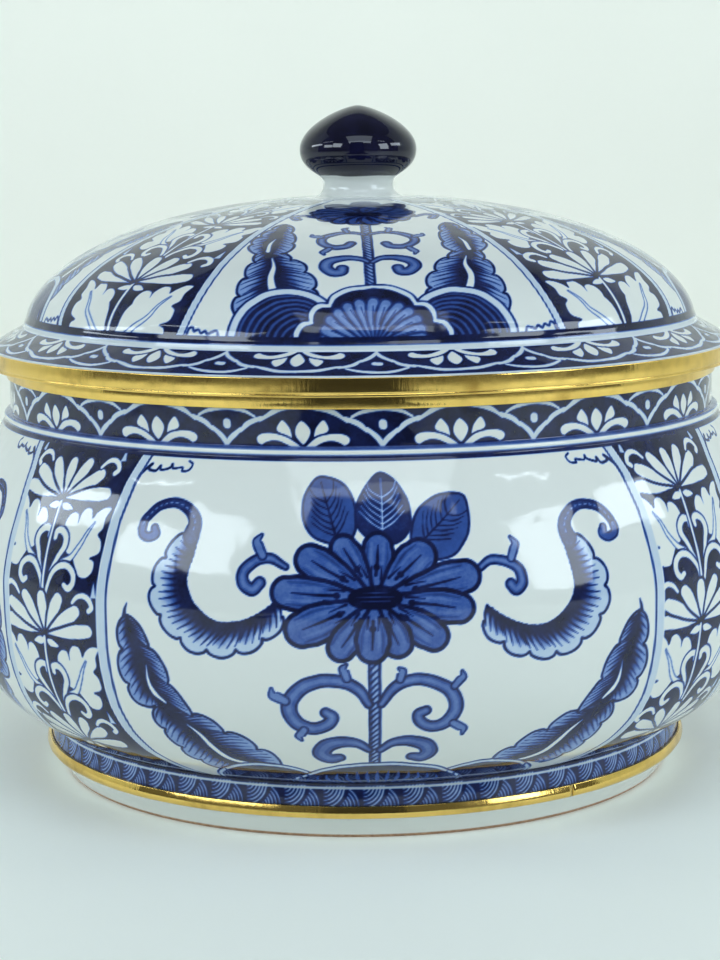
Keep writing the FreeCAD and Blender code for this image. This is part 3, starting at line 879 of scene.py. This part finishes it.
def seam_profile(node):
    """A CAD node's profile in mm, as one chain of (radius, height) from axis to axis."""
    points, index = np.unique(np.round(node_points(node), 3), axis=0, return_inverse=True)
    index = index.reshape(-1)
    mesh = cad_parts[node].data
    edges = np.empty(len(mesh.edges) * 2, np.int32)
    mesh.edges.foreach_get("vertices", edges)
    edges = index[edges.reshape(-1, 2)]
    on_seam = (np.abs(points[:, 1]) < 2e-3) & (points[:, 0] > -1e-3)
    edges = edges[on_seam[edges[:, 0]] & on_seam[edges[:, 1]]]
    links = {}
    for a, b in edges:
        if a != b:
            links.setdefault(int(a), set()).add(int(b))
            links.setdefault(int(b), set()).add(int(a))
    ends = sorted((k for k in links if len(links[k]) == 1), key=lambda k: points[k, 2])
    chain = [ends[-1]]
    seen = {ends[-1]}
    while True:
        ahead = [k for k in links[chain[-1]] if k not in seen]
        if not ahead:
            break
        chain.append(ahead[0])
        seen.add(ahead[0])
    return points[chain][:, [0, 2]].astype(float)


def smooth_runs(profile):
    """The profile cut at its corners, each run as a smooth path."""
    step = np.diff(profile, axis=0)
    heading = np.arctan2(step[:, 1], step[:, 0])
    turn = np.abs((np.diff(heading) + math.pi) % (2 * math.pi) - math.pi)
    cuts = [0] + [i + 1 for i in range(len(turn)) if turn[i] > CORNER] + [len(profile) - 1]
    return [spline(profile[a:b + 1], 12) for a, b in zip(cuts, cuts[1:])]


def corners_of(profile):
    """Where the profile's smooth runs begin, as (radius, height)."""
    return np.array([run[0] for run in smooth_runs(profile)])


def rounded(path, passes):
    """A path with its corners eased, its ends kept."""
    p = path.copy()
    for _ in range(passes):
        p[1:-1] = 0.25 * p[:-2] + 0.5 * p[1:-1] + 0.25 * p[2:]
    return p


def spaced(profile, spacing_at):
    """Rings along a profile, as far apart as spacing_at says for the middle of each run."""
    rings = []
    for run in smooth_runs(profile):
        gap = spacing_at(run[len(run) // 2])
        count = max(2, int(math.ceil(measure(run)[-1] / gap)) + 1)
        rings.append(resample(run, count)[:-1])
    rings.append(profile[-1:])
    return np.vstack(rings)


def ring_azimuths(count):
    return 2 * math.pi * np.arange(count) / count - math.pi


def put(name, mesh, material):
    """A smooth mesh with one material, as an object in the scene."""
    mesh.shade_smooth()
    mesh.materials.append(material)
    thing = bpy.data.objects.new(name, mesh)
    bpy.context.scene.collection.objects.link(thing)
    return thing


def turned_mesh(name, rings, columns, material):
    """A piece turned about the vertical axis. columns says how many vertices each ring has."""
    counts = [1 if radius < 1e-4 else int(count) for (radius, _), count in zip(rings, columns)]
    starts = np.r_[0, np.cumsum(counts)]
    place = np.empty((starts[-1], 3))
    for (radius, height), count, start in zip(rings, counts, starts):
        azimuth = ring_azimuths(count)
        if count == 1:
            radius = 0
        place[start:start + count, 0] = radius * np.sin(azimuth)
        place[start:start + count, 1] = -radius * np.cos(azimuth)
        place[start:start + count, 2] = height
    blocks = [block for k in range(len(rings) - 1)
              for block in strip(starts[k], counts[k], starts[k + 1], counts[k + 1])]
    loops = np.concatenate([block[:, ::-1].reshape(-1) for block in blocks]).astype(np.int32)
    sizes = np.concatenate([np.full(len(block), block.shape[1]) for block in blocks]).astype(np.int32)
    mesh = bpy.data.meshes.new(name)
    mesh.vertices.add(len(place))
    mesh.vertices.foreach_set("co", (place * MM).astype(np.float32).reshape(-1))
    mesh.loops.add(len(loops))
    mesh.loops.foreach_set("vertex_index", loops)
    mesh.polygons.add(len(sizes))
    mesh.polygons.foreach_set("loop_start", np.r_[0, np.cumsum(sizes)[:-1]].astype(np.int32))
    mesh.update(calc_edges=True)
    mesh.validate()
    return put(name, mesh, material), counts, starts


def strip(start_a, count_a, start_b, count_b):
    """Faces between two rings; the finer ring has a whole number of vertices to each of the other's."""
    if count_a == count_b:
        j = np.arange(count_a)
        k = (j + 1) % count_a
        return [np.stack([start_a + j, start_a + k, start_b + k, start_b + j], -1)]
    flip = count_a < count_b
    if flip:
        start_a, count_a, start_b, count_b = start_b, count_b, start_a, count_a
    ratio = count_a // count_b
    j = np.arange(count_a)
    coarse = ((j + ratio // 2) // ratio) % count_b
    blocks = [np.stack([start_a + j, start_a + (j + 1) % count_a, start_b + coarse], -1)]
    if count_b > 1:
        c = np.arange(count_b)
        fine = (c * ratio + ratio - ratio // 2) % count_a
        blocks.append(np.stack([start_a + fine, start_b + (c + 1) % count_b, start_b + c], -1))
    return [block[:, ::-1] for block in blocks] if flip else blocks


def paint_rings(target, starts, rings, ink):
    """Writes painted rings into the piece's own vertices, which are as many to a ring or fewer."""
    for row, k in enumerate(rings):
        count = starts[k + 1] - starts[k]
        target[starts[k]:starts[k + 1]] = ink[row][::ink.shape[1] // count] if count > 1 else WHITE


def give_attribute(piece, name, values):
    layer = piece.data.attributes.new(name, "FLOAT", "POINT")
    layer.data.foreach_set("value", np.asarray(values, np.float32))


# ---- materials ------------------------------------------------------------------------

class Look:
    """A material in the making: its Principled shader and the nodes that feed it."""

    def __init__(self, name):
        self.material = bpy.data.materials.new(name)
        self.material.use_nodes = True
        self.tree = self.material.node_tree
        self.shader = self.tree.nodes["Principled BSDF"]

    def feed(self, node, inputs):
        """Sets a node's inputs to numbers or colours, or links other nodes' outputs to them."""
        for socket, value in inputs.items():
            if isinstance(value, bpy.types.NodeSocket):
                self.tree.links.new(value, node.inputs[socket])
            else:
                node.inputs[socket].default_value = value

    def surface(self, inputs):
        self.feed(self.shader, inputs)

    def add(self, kind, output, inputs, **settings):
        """Makes a node and gives back one of its outputs."""
        node = self.tree.nodes.new("ShaderNode" + kind)
        for name, value in settings.items():
            setattr(node, name, value)
        self.feed(node, inputs)
        return node.outputs[output]

    def place(self):
        return self.add("TexCoord", "Object", {})

    def attribute(self, name):
        return self.add("Attribute", "Fac", {}, attribute_name=name)

    def noise(self, scale, detail, stretch=None):
        place = self.place()
        if stretch:
            place = self.add("Mapping", "Vector", {"Vector": place, "Scale": stretch})
        return self.add("TexNoise", "Fac", {"Vector": place, "Scale": scale, "Detail": detail})

    def maths(self, operation, *values):
        return self.add("Math", 0, dict(enumerate(values)), operation=operation)

    def mix(self, factor, first, second):
        return self.add("Mix", "Result", {"Factor": factor, "A": first, "B": second}, data_type="RGBA")

    def ramp(self, amount, stops):
        """A colour that follows an amount from stop to stop."""
        node = self.tree.nodes.new("ShaderNodeValToRGB")
        self.feed(node, {"Fac": amount})
        elements = node.color_ramp.elements
        elements.remove(elements[-1])
        elements[0].position = stops[0][0]
        elements[0].color = (*stops[0][1], 1)
        for position, colour in stops[1:]:
            elements.new(position).color = (*colour, 1)
        return node.outputs["Color"]

    def bump(self, height, strength, distance):
        inputs = {"Height": height, "Strength": strength, "Distance": distance}
        self.surface({"Normal": self.add("Bump", "Normal", inputs)})


GLAZE = (0.785, 0.81, 0.775)
COBALT_STOPS = [(0.0, GLAZE), (0.16, (0.5, 0.62, 0.77)), (0.32, (0.19, 0.31, 0.62)),
                (0.56, (0.032, 0.085, 0.33)), (0.78, (0.012, 0.021, 0.105)), (1.0, (0.005, 0.007, 0.03))]
CLAY_STOPS = [(0.3, (0.36, 0.19, 0.1)), (0.7, (0.56, 0.36, 0.23))]
FINIAL_STOPS = [(0.3, (0.002, 0.002, 0.012)), (0.7, (0.007, 0.007, 0.034))]
CEMENT_STOPS = [(0.35, (0.05, 0.045, 0.035)), (0.65, (0.14, 0.12, 0.09))]
CLOTH_STOPS = [(0.3, (0.02, 0.02, 0.025)), (0.7, (0.035, 0.035, 0.04))]
PAPER_STOPS = [(0.3, (0.87, 0.9, 0.84)), (0.7, (0.89, 0.92, 0.86))]


def painted_glaze():
    """Clear glossy glaze over white porcelain and brushed cobalt; bare clay where it isn't glazed."""
    look = Look("painted_glaze")
    ink = look.attribute("cobalt")
    bare = look.attribute("bare")
    grain = look.maths("MULTIPLY_ADD", look.noise(900, 2), 0.35, -0.175)
    uneven = look.maths("ADD", look.noise(190, 3), grain)
    pooled = look.maths("MULTIPLY", look.maths("MULTIPLY_ADD", uneven, 0.42, -0.21), ink)
    cobalt = look.ramp(look.maths("ADD", pooled, ink), COBALT_STOPS)
    clay = look.ramp(look.noise(700, 4), CLAY_STOPS)
    rough = look.maths("MULTIPLY_ADD", bare, 0.6, 0.07)
    look.surface({"Base Color": look.mix(bare, cobalt, clay), "Roughness": rough, "IOR": 1.5})
    look.bump(look.noise(46, 2), 0.22, 0.003)
    return look.material


def knob_glaze(level):
    """Near-black cobalt glaze on the finial and clear glaze on its neck, parted at one level."""
    look = Look("knob_glaze")
    height = look.add("SeparateXYZ", "Z", {"Vector": look.place()})
    waver = look.maths("MULTIPLY_ADD", look.noise(90, 2), 0.0012, -0.0006)
    above = look.maths("SUBTRACT", look.maths("ADD", height, waver), level)
    finial = look.add("Clamp", "Result", {"Value": look.maths("MULTIPLY_ADD", above, 2500.0, 0.5)})
    cobalt = look.ramp(look.noise(120, 3), FINIAL_STOPS)
    look.surface({"Base Color": look.mix(finial, (*GLAZE, 1), cobalt), "Roughness": 0.05, "IOR": 1.52})
    look.bump(look.noise(60, 2), 0.08, 0.002)
    return look.material


def brass_material(name, light, dark, rough_low, rough_high):
    """Hand-polished brass with patches of tarnish and fine file marks across the strip."""
    look = Look(name)
    stains = look.maths("MULTIPLY", look.noise(240, 4), 0.25)
    clean = look.maths("MULTIPLY_ADD", look.noise(34, 3), 0.75, stains)
    middle = tuple(0.3 * a + 0.7 * b for a, b in zip(dark, light))
    colour = look.ramp(clean, [(0.32, dark), (0.44, middle), (0.56, light)])
    limits = {"From Min": 0.35, "From Max": 0.62, "To Min": rough_high, "To Max": rough_low}
    rough = look.add("MapRange", "Result", {"Value": clean, **limits})
    look.surface({"Base Color": colour, "Metallic": 1.0, "Roughness": rough})
    marks = look.noise(850, 3, (1, 1, 0.16))
    relief = look.maths("MULTIPLY_ADD", look.noise(60, 2), 2.0, marks)
    look.bump(relief, 0.1, 0.0005)
    return look.material


def cement_material():
    look = Look("set_cement")
    grain = look.noise(900, 5)
    look.surface({"Base Color": look.ramp(grain, CEMENT_STOPS), "Roughness": 0.85})
    look.bump(grain, 0.4, 0.0005)
    return look.material


# ---- pieces ---------------------------------------------------------------------------

AROUND_BOWL = 2160
AROUND_LID = 1920
AROUND_KNOB = 240
AROUND_BAND = 720
BARE_HEIGHT = 1.0               # the foot ring is bare clay up to here, mm
FOOT_INSIDE = 90                # everything of the foot ring is further out than this, mm
NEARBY = 3.5                    # how far from a profile point its neighbours are looked for, mm
FINIAL_SHARE = 0.228            # of the knob's height, below the finial's cobalt
JOINT_HALF = 0.45               # half of the gap in a band that its solder fills, mm
GROOVE_DEPTH = 0.2              # of the groove that runs round the lid's band, mm
GROOVE_HALF = 0.24              # and about half its width, mm


def is_outside(point, profile):
    """Whether a profile point is on the pot's outer side: nothing of the profile is further out."""
    level = np.abs(profile[:, 1] - point[1]) < NEARBY
    return not level.any() or point[0] > profile[level][:, 0].max() - 3.4


def is_on_top(point, profile, edge_top):
    """Whether a profile point is on the lid's upper side: nothing of the profile is above it."""
    if point[1] < edge_top - 0.2:
        return False
    level = np.abs(profile[:, 0] - point[0]) < NEARBY
    return not level.any() or point[1] > profile[level][:, 1].max() - 4.2


def make_bowl(glaze):
    profile = seam_profile("bowl")
    rim_height = profile[:, 1].max()
    foot_edge = profile[profile[:, 1] < 0.01][:, 0].max()
    corners = corners_of(profile)
    rim_end = int(np.where(corners[:, 1] > rim_height - 1e-3)[0].max())
    bead_top, shoulder_height = corners[rim_end + 2:rim_end + 4, 1]

    def spacing(point):
        outside = point[0] > foot_edge - 0.5
        return FINE if outside and is_outside(point, profile) else PLAIN

    rings = spaced(profile, spacing)
    top = int(np.where(rings[:, 1] > rim_height - 1e-3)[0].max())
    bottom = int(np.where(rings[top:, 1] < 1e-3)[0].min()) + top
    rings[top:bottom + 1] = rounded(rings[top:bottom + 1], 2)
    columns = np.full(len(rings), AROUND_BOWL // 4)
    columns[top:bottom + 1] = AROUND_BOWL
    piece, _, starts = turned_mesh("painted_bowl", rings, columns, glaze)

    radii, heights = rings.T
    # the crease between foot and belly is the narrowest ring from the belly down to the foot's brass
    widest = int(np.argmax(radii))
    above_brass = heights[widest:bottom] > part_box("foot_band")[1].z / MM
    crease = widest + int(np.where(above_brass, radii[widest:bottom], np.inf).argmin())
    shoulder = top + int(np.argmin(np.abs(heights[top:bottom] - shoulder_height)))
    along = measure(rings)
    belly = np.arange(crease, shoulder - 1, -1)
    neck = np.arange(shoulder - 1, top, -1)
    foot = np.arange(bottom, crease, -1)
    azimuths = ring_azimuths(AROUND_BOWL)
    cobalt = np.zeros(starts[-1])
    paint_rings(cobalt, starts, belly, belly_ink(along[crease] - along[belly], azimuths))
    paint_rings(cobalt, starts, neck, neck_ink(heights[neck], azimuths, shoulder_height, bead_top))
    paint_rings(cobalt, starts, foot, foot_ink(heights[foot], heights[crease], azimuths))
    bare = np.zeros(starts[-1])
    for k in np.where((heights < BARE_HEIGHT) & (radii > FOOT_INSIDE))[0]:
        bare[starts[k]:starts[k + 1]] = 1.0
    give_attribute(piece, "cobalt", cobalt)
    give_attribute(piece, "bare", bare)
    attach(piece, "bowl")
    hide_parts("bowl")


def make_lid(glaze):
    profile = seam_profile("lid")
    edge = profile[:, 0].max()
    edge_top = profile[profile[:, 0] > edge - 0.05][:, 1].max()
    dome_base = corners_of(profile)[1, 1]

    def spacing(point):
        return FINE if is_on_top(point, profile, edge_top) else PLAIN

    rings = spaced(profile, spacing)
    last = int(np.where((rings[:, 0] > edge - 1e-3) & (rings[:, 1] > edge_top - 1e-2))[0].min())
    rings[:last + 1] = rounded(rings[:last + 1], 2)
    columns = np.full(len(rings), AROUND_LID // 4)
    for k in range(last + 1):
        share = rings[k, 0] / edge
        columns[k] = AROUND_LID if share > 0.5 else AROUND_LID // 2 if share > 0.25 else AROUND_LID // 4
    piece, _, starts = turned_mesh("painted_lid", rings, columns, glaze)

    bead = int(np.argmin(np.abs(rings[:last, 1] - dome_base)))
    along = measure(rings)
    dome = np.arange(bead, 0, -1)
    flange = np.arange(last, bead, -1)
    azimuths = ring_azimuths(AROUND_LID)
    cobalt = np.zeros(starts[-1])
    paint_rings(cobalt, starts, dome, dome_ink(along[bead] - along[dome], rings[dome, 0], azimuths))
    paint_rings(cobalt, starts, flange, flange_ink(along[last] - along[flange], azimuths))
    give_attribute(piece, "cobalt", cobalt)
    give_attribute(piece, "bare", np.zeros(starts[-1]))
    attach(piece, "lid")
    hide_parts("lid")


def make_knob():
    profile = seam_profile("knob")
    profile[0, 0] = 0
    rings = spaced(profile, lambda point: 0.5)
    low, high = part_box("knob")
    glaze = knob_glaze(low.z + FINIAL_SHARE * (high.z - low.z))
    piece, _, _ = turned_mesh("glazed_knob", rings, np.full(len(rings), AROUND_KNOB), glaze)
    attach(piece, "lid")
    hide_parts("knob")


def band_section(name):
    """The corners of a brass band's cross-section, in mm, anticlockwise seen with the axis on the left."""
    x, y, height = node_points(name).T
    radius = np.hypot(x, y)
    low, high = height.min(), height.max()
    outer, inner = radius.max(), radius.min()
    if outer - inner < 2:
        return [(inner, low), (outer, low), (outer, high), (inner, high)]
    # an L: the lip is at the height where the innermost points are
    lip = height[radius < inner + 0.2]
    leg = radius[(radius > inner + 1) & (radius < outer - 0.3)].max()
    if lip.mean() < (low + high) / 2:
        return [(inner, low), (outer, low), (outer, high), (leg, high), (leg, lip.max()), (inner, lip.max())]
    return [(leg, low), (outer, low), (outer, high), (inner, high), (inner, lip.min()), (leg, lip.min())]


def soft_section(corners, groove, bulge, crest):
    """The same section with eased corners. Its outer face swells by bulge, and may have a groove.

    The swelling is greatest at crest, from 0 at the lower edge to 1 at the upper one.
    """
    section = resample(np.vstack([corners, corners[:1]]), 360)[:-1]
    for _ in range(20):
        section = 0.25 * np.roll(section, 1, axis=0) + 0.5 * section + 0.25 * np.roll(section, -1, axis=0)
    face = section[:, 0] > corners[:, 0].max() - 0.2
    bottom, top = section[face, 1].min(), section[face, 1].max()
    across = (section[face, 1] - bottom) / (top - bottom)
    section[face, 0] += bulge * np.sin(np.pi * np.interp(across, [0, crest, 1], [0, 0.5, 1]))
    if groove:
        section[face, 0] -= GROOVE_DEPTH * np.exp(-((section[face, 1] - bottom - groove) / GROOVE_HALF) ** 2)
    return section


def fitted_by_hand(azimuths, seed):
    """A small uneven push outwards round a band, in mm, the same every time."""
    return 0.05 * (math.sin(seed) * np.sin(9 * azimuths + seed) + np.sin(17 * azimuths + 2.3 * seed)
                   + 0.7 * np.sin(31 * azimuths + 4.1 * seed) + 0.45 * np.sin(53 * azimuths + 0.7 * seed))


def make_band(name, body, material, seed, groove=None, bulge=0.12, crest=0.5):
    """A brass strip with soft edges, open at its joint, where the solder fills it."""
    corners = np.array(band_section(name))
    section = soft_section(corners, groove, bulge, crest)
    low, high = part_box(name + "_solder")
    joint = math.atan2((low.x + high.x) / 2, -(low.y + high.y) / 2)
    gap = JOINT_HALF / corners[:, 0].max()
    count = AROUND_BAND
    azimuths = joint + gap + (2 * math.pi - 2 * gap) * np.arange(count + 1) / count
    radius = section[None, :, 0] + fitted_by_hand(azimuths, seed)[:, None]
    height = np.broadcast_to(section[:, 1], radius.shape)
    place = np.stack([radius * np.sin(azimuths)[:, None], -radius * np.cos(azimuths)[:, None], height], -1)
    size = len(section)
    a = np.arange(count)[:, None] * size
    j = np.arange(size)[None]
    k = (j + 1) % size
    quads = np.stack([a + j, a + size + j, a + size + k, a + k], -1).reshape(-1, 4)
    ends = [list(range(size)), list(range((count + 1) * size - 1, count * size - 1, -1))]
    mesh = bpy.data.meshes.new(name + "_strip")
    mesh.from_pydata((place.reshape(-1, 3) * MM).tolist(), [], quads.tolist() + ends)
    mesh.update()
    strip_piece = put(name + "_strip", mesh, material)
    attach(strip_piece, body)
    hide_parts(name)


# ---- studio ---------------------------------------------------------------------------

def put_on_stage(name, vertices, faces, material, unseen_by=()):
    """A floor, wall or screen. The kinds of ray that it is unseen by pass straight through it."""
    mesh = bpy.data.meshes.new(name)
    mesh.from_pydata(vertices, [], faces)
    thing = put(name, mesh, material)
    for ray in unseen_by:
        setattr(thing, "visible_" + ray, False)


def swept(line, first_angle, last_angle):
    """Vertices and faces of a line of (radius, height) turned from one azimuth to another, in degrees."""
    steps = (last_angle - first_angle) // 2
    sector = [math.radians(first_angle + (last_angle - first_angle) * k / steps) for k in range(steps + 1)]
    vertices = [(r * math.sin(a), -r * math.cos(a), z) for a in sector for r, z in line]
    row = len(line)
    faces = [(a * row + k, (a + 1) * row + k, (a + 1) * row + k + 1, a * row + k + 1)
             for a in range(steps) for k in range(row - 1)]
    return vertices, faces


def paper_material():
    look = Look("paper")
    colour = look.ramp(look.noise(3, 3), PAPER_STOPS)
    look.surface({"Base Color": colour, "Roughness": 0.6,
                  "Emission Color": (0.9, 1.0, 0.98, 1), "Emission Strength": 0.08})
    return look.material


def stage():
    """A pale floor that curves up into a wall behind and on both sides; the front is open.

    Only the floor and the foot of the wall behind the pot are seen by the camera. The rest is there
    for its light, so that a view from the side or from behind is taken through it.
    """
    wall = 2.2
    bend = 0.5
    top = 3.0
    front_length = 8
    right_end, back_right, back_left, left_end = 85, 155, 205, 275
    floor = [(0.0, 0.0), (0.5, 0.0), (wall - bend, 0.0)]
    quarter = [k * math.pi / 24 for k in range(1, 13)]
    curve = [(wall - bend + bend * math.sin(angle), bend - bend * math.cos(angle)) for angle in quarter]
    upper = [(wall, bend), (wall, top)]
    paper = paper_material()
    put_on_stage("paper_back", *swept(floor + curve, back_right, back_left), paper)
    put_on_stage("paper_back_wall", *swept(upper, back_right, back_left), paper, ["camera"])
    side = floor[-1:] + curve + upper[1:]
    for name, first, last in (("right", right_end, back_right), ("left", back_left, left_end)):
        put_on_stage("paper_floor_" + name, *swept(floor, first, last), paper)
        put_on_stage("paper_wall_" + name, *swept(side, first, last), paper, ["camera"])
    # the floor runs on to the front as one flat sheet
    half = wall * math.sin(math.radians(right_end))
    front = wall * math.cos(math.radians(right_end))
    vertices = [(-half, -front_length, 0), (half, -front_length, 0), (half, -front, 0), (0, 0, 0),
                (-half, -front, 0)]
    put_on_stage("paper_front", vertices, [(0, 1, 2, 4), (2, 3, 4)], paper)


def dark_cloth():
    """A black cloth that hangs in front of the pot and runs out on the floor, for the brass to reflect."""
    left, right, top = -0.36, 0.25, 1.2
    near, away, lift = -0.6, -1.15, 0.002
    line = [(near, lift), (away, lift), (away, top)]
    vertices = [(x, y, z) for y, z in line for x in (left, right)]
    faces = [(0, 1, 3, 2), (2, 3, 5, 4)]
    look = Look("black_cloth")
    look.surface({"Base Color": look.ramp(look.noise(400, 2), CLOTH_STOPS), "Roughness": 0.9})
    put_on_stage("dark_cloth", vertices, faces, look.material, ["camera", "diffuse", "shadow"])


def far_screens():
    """A pale floor and wall far round the studio, behind every view; they light and shade nothing."""
    near, far = 1.66, 9
    low, high = 0.001, 6
    look = Look("far_screen")
    away = look.add("VectorMath", "Value", {0: look.place()}, operation="LENGTH")
    stops = [(near / far, (0.78, 0.92, 0.88)), (0.5, (0.77, 0.9, 0.85)), (1.0, (0.77, 0.89, 0.83))]
    colour = look.ramp(look.maths("DIVIDE", away, far), stops)
    look.surface({"Base Color": (0.02, 0.02, 0.02, 1), "Emission Color": colour, "Emission Strength": 1.0})
    unseen_by = ["diffuse", "glossy", "transmission", "shadow"]
    put_on_stage("far_floor", *swept([(near, low), (far, low)], -155, 155), look.material, unseen_by)
    put_on_stage("far_wall", *swept([(far, low), (far, high)], 0, 360), look.material, unseen_by)


DAYLIGHT = (0.79, 0.91, 1.0)
AIM = Vector((0, 0, 0.12))      # the windows face this point, in the pot

# name, azimuth, elevation, distance, width, height, radiance, roll: metres and degrees
WINDOWS = [
    ("window_far_left", -92, 20.5, 1.6, 27, 5.5, 7.0, 23),
    ("window_left", -62, 20.5, 1.6, 17, 11, 6.2, 8),
    ("window_near_left", -43.5, 26, 1.6, 16, 17, 6.2, 0),
    ("window_right", 53.5, 19, 1.6, 18, 24, 6.2, 0),
    ("window_far_right", 83, 23.5, 1.6, 22, 10, 6.2, -10),
    ("panel_front", 4, 43.5, 1.7, 38, 10, 3.6, 0),
    ("panel_above", 4, 59, 1.7, 38, 20, 1.75, 0),
    ("tube_left", -69, 36.6, 1.9, 20, 0.5, 16, 25),
    ("tube_right", 55.5, 40.5, 1.9, 12, 0.5, 16, -21),
]


def window(name, azimuth, elevation, distance, width, height, radiance, roll, colour=DAYLIGHT):
    """A rectangle of even light that faces the pot; width and height in degrees as the pot sees it."""
    light = bpy.data.lights.new(name, "AREA")
    light.shape = "RECTANGLE"
    light.size = 2 * distance * math.tan(math.radians(width / 2))
    light.size_y = 2 * distance * math.tan(math.radians(height / 2))
    light.energy = radiance * math.pi * light.size * light.size_y
    light.color = colour
    lamp = bpy.data.objects.new(name, light)
    a = math.radians(azimuth)
    e = math.radians(elevation)
    offset = Vector((math.sin(a) * math.cos(e), -math.cos(a) * math.cos(e), math.sin(e))) * distance
    lamp.location = AIM + offset
    facing = offset.to_track_quat("Z", "Y").to_matrix() @ Matrix.Rotation(math.radians(roll), 3, "Z")
    lamp.rotation_euler = facing.to_euler()
    bpy.context.scene.collection.objects.link(lamp)
    return lamp


def lights():
    for row in WINDOWS:
        window(*row)
    wash = window("wall_wash", 0, 0, 1, 90, 30, 4.3, 0, (0.9, 0.92, 0.94))
    wash.location = (0, 0.8, 1.7)
    wash.rotation_euler = (math.radians(65), 0, 0)
    world = bpy.data.worlds.new("room")
    bpy.context.scene.world = world
    world.use_nodes = True
    background = world.node_tree.nodes["Background"]
    background.inputs["Color"].default_value = (0.86, 0.95, 0.93, 1)
    background.inputs["Strength"].default_value = 0.13


def camera():
    """A long lens a little above the lid's level, tipped down and leaning slightly."""
    distance = 0.8132
    height = 0.2252
    shift_left = -0.0007
    down = math.radians(8.88)
    lean = math.radians(0.69)
    data = bpy.data.cameras.new("camera")
    data.sensor_fit = "HORIZONTAL"
    data.sensor_width = 36
    data.lens = 115.3
    data.clip_end = 20
    eye = bpy.data.objects.new("camera", data)
    tilt = Matrix.Rotation(math.pi / 2 - down, 4, "X") @ Matrix.Rotation(-lean, 4, "Z")
    eye.matrix_world = Matrix.Translation((shift_left, -distance, height)) @ tilt
    bpy.context.scene.collection.objects.link(eye)
    bpy.context.scene.camera = eye


def main():
    glaze = painted_glaze()
    make_bowl(glaze)
    make_lid(glaze)
    make_knob()
    brass = brass_material("old_brass", (0.95, 0.64, 0.17), (0.5, 0.3, 0.065), 0.08, 0.24)
    solder = brass_material("dull_solder", (0.66, 0.5, 0.22), (0.42, 0.3, 0.12), 0.3, 0.45)
    cement = cement_material()
    make_band("foot_band", "bowl", brass, 1.0, bulge=0.68, crest=0.32)
    make_band("rim_band", "bowl", brass, 2.6)
    make_band("lid_band", "lid", brass, 4.2, groove=1.05)
    for band in ("foot_band", "rim_band", "lid_band"):
        for node, material in ((band + "_solder", solder), (band + "_cement", cement)):
            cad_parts[node].data.materials.clear()
            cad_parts[node].data.materials.append(material)
    stage()
    dark_cloth()
    far_screens()
    lights()
    camera()
    bpy.context.scene.view_settings.view_transform = "Standard"


main()
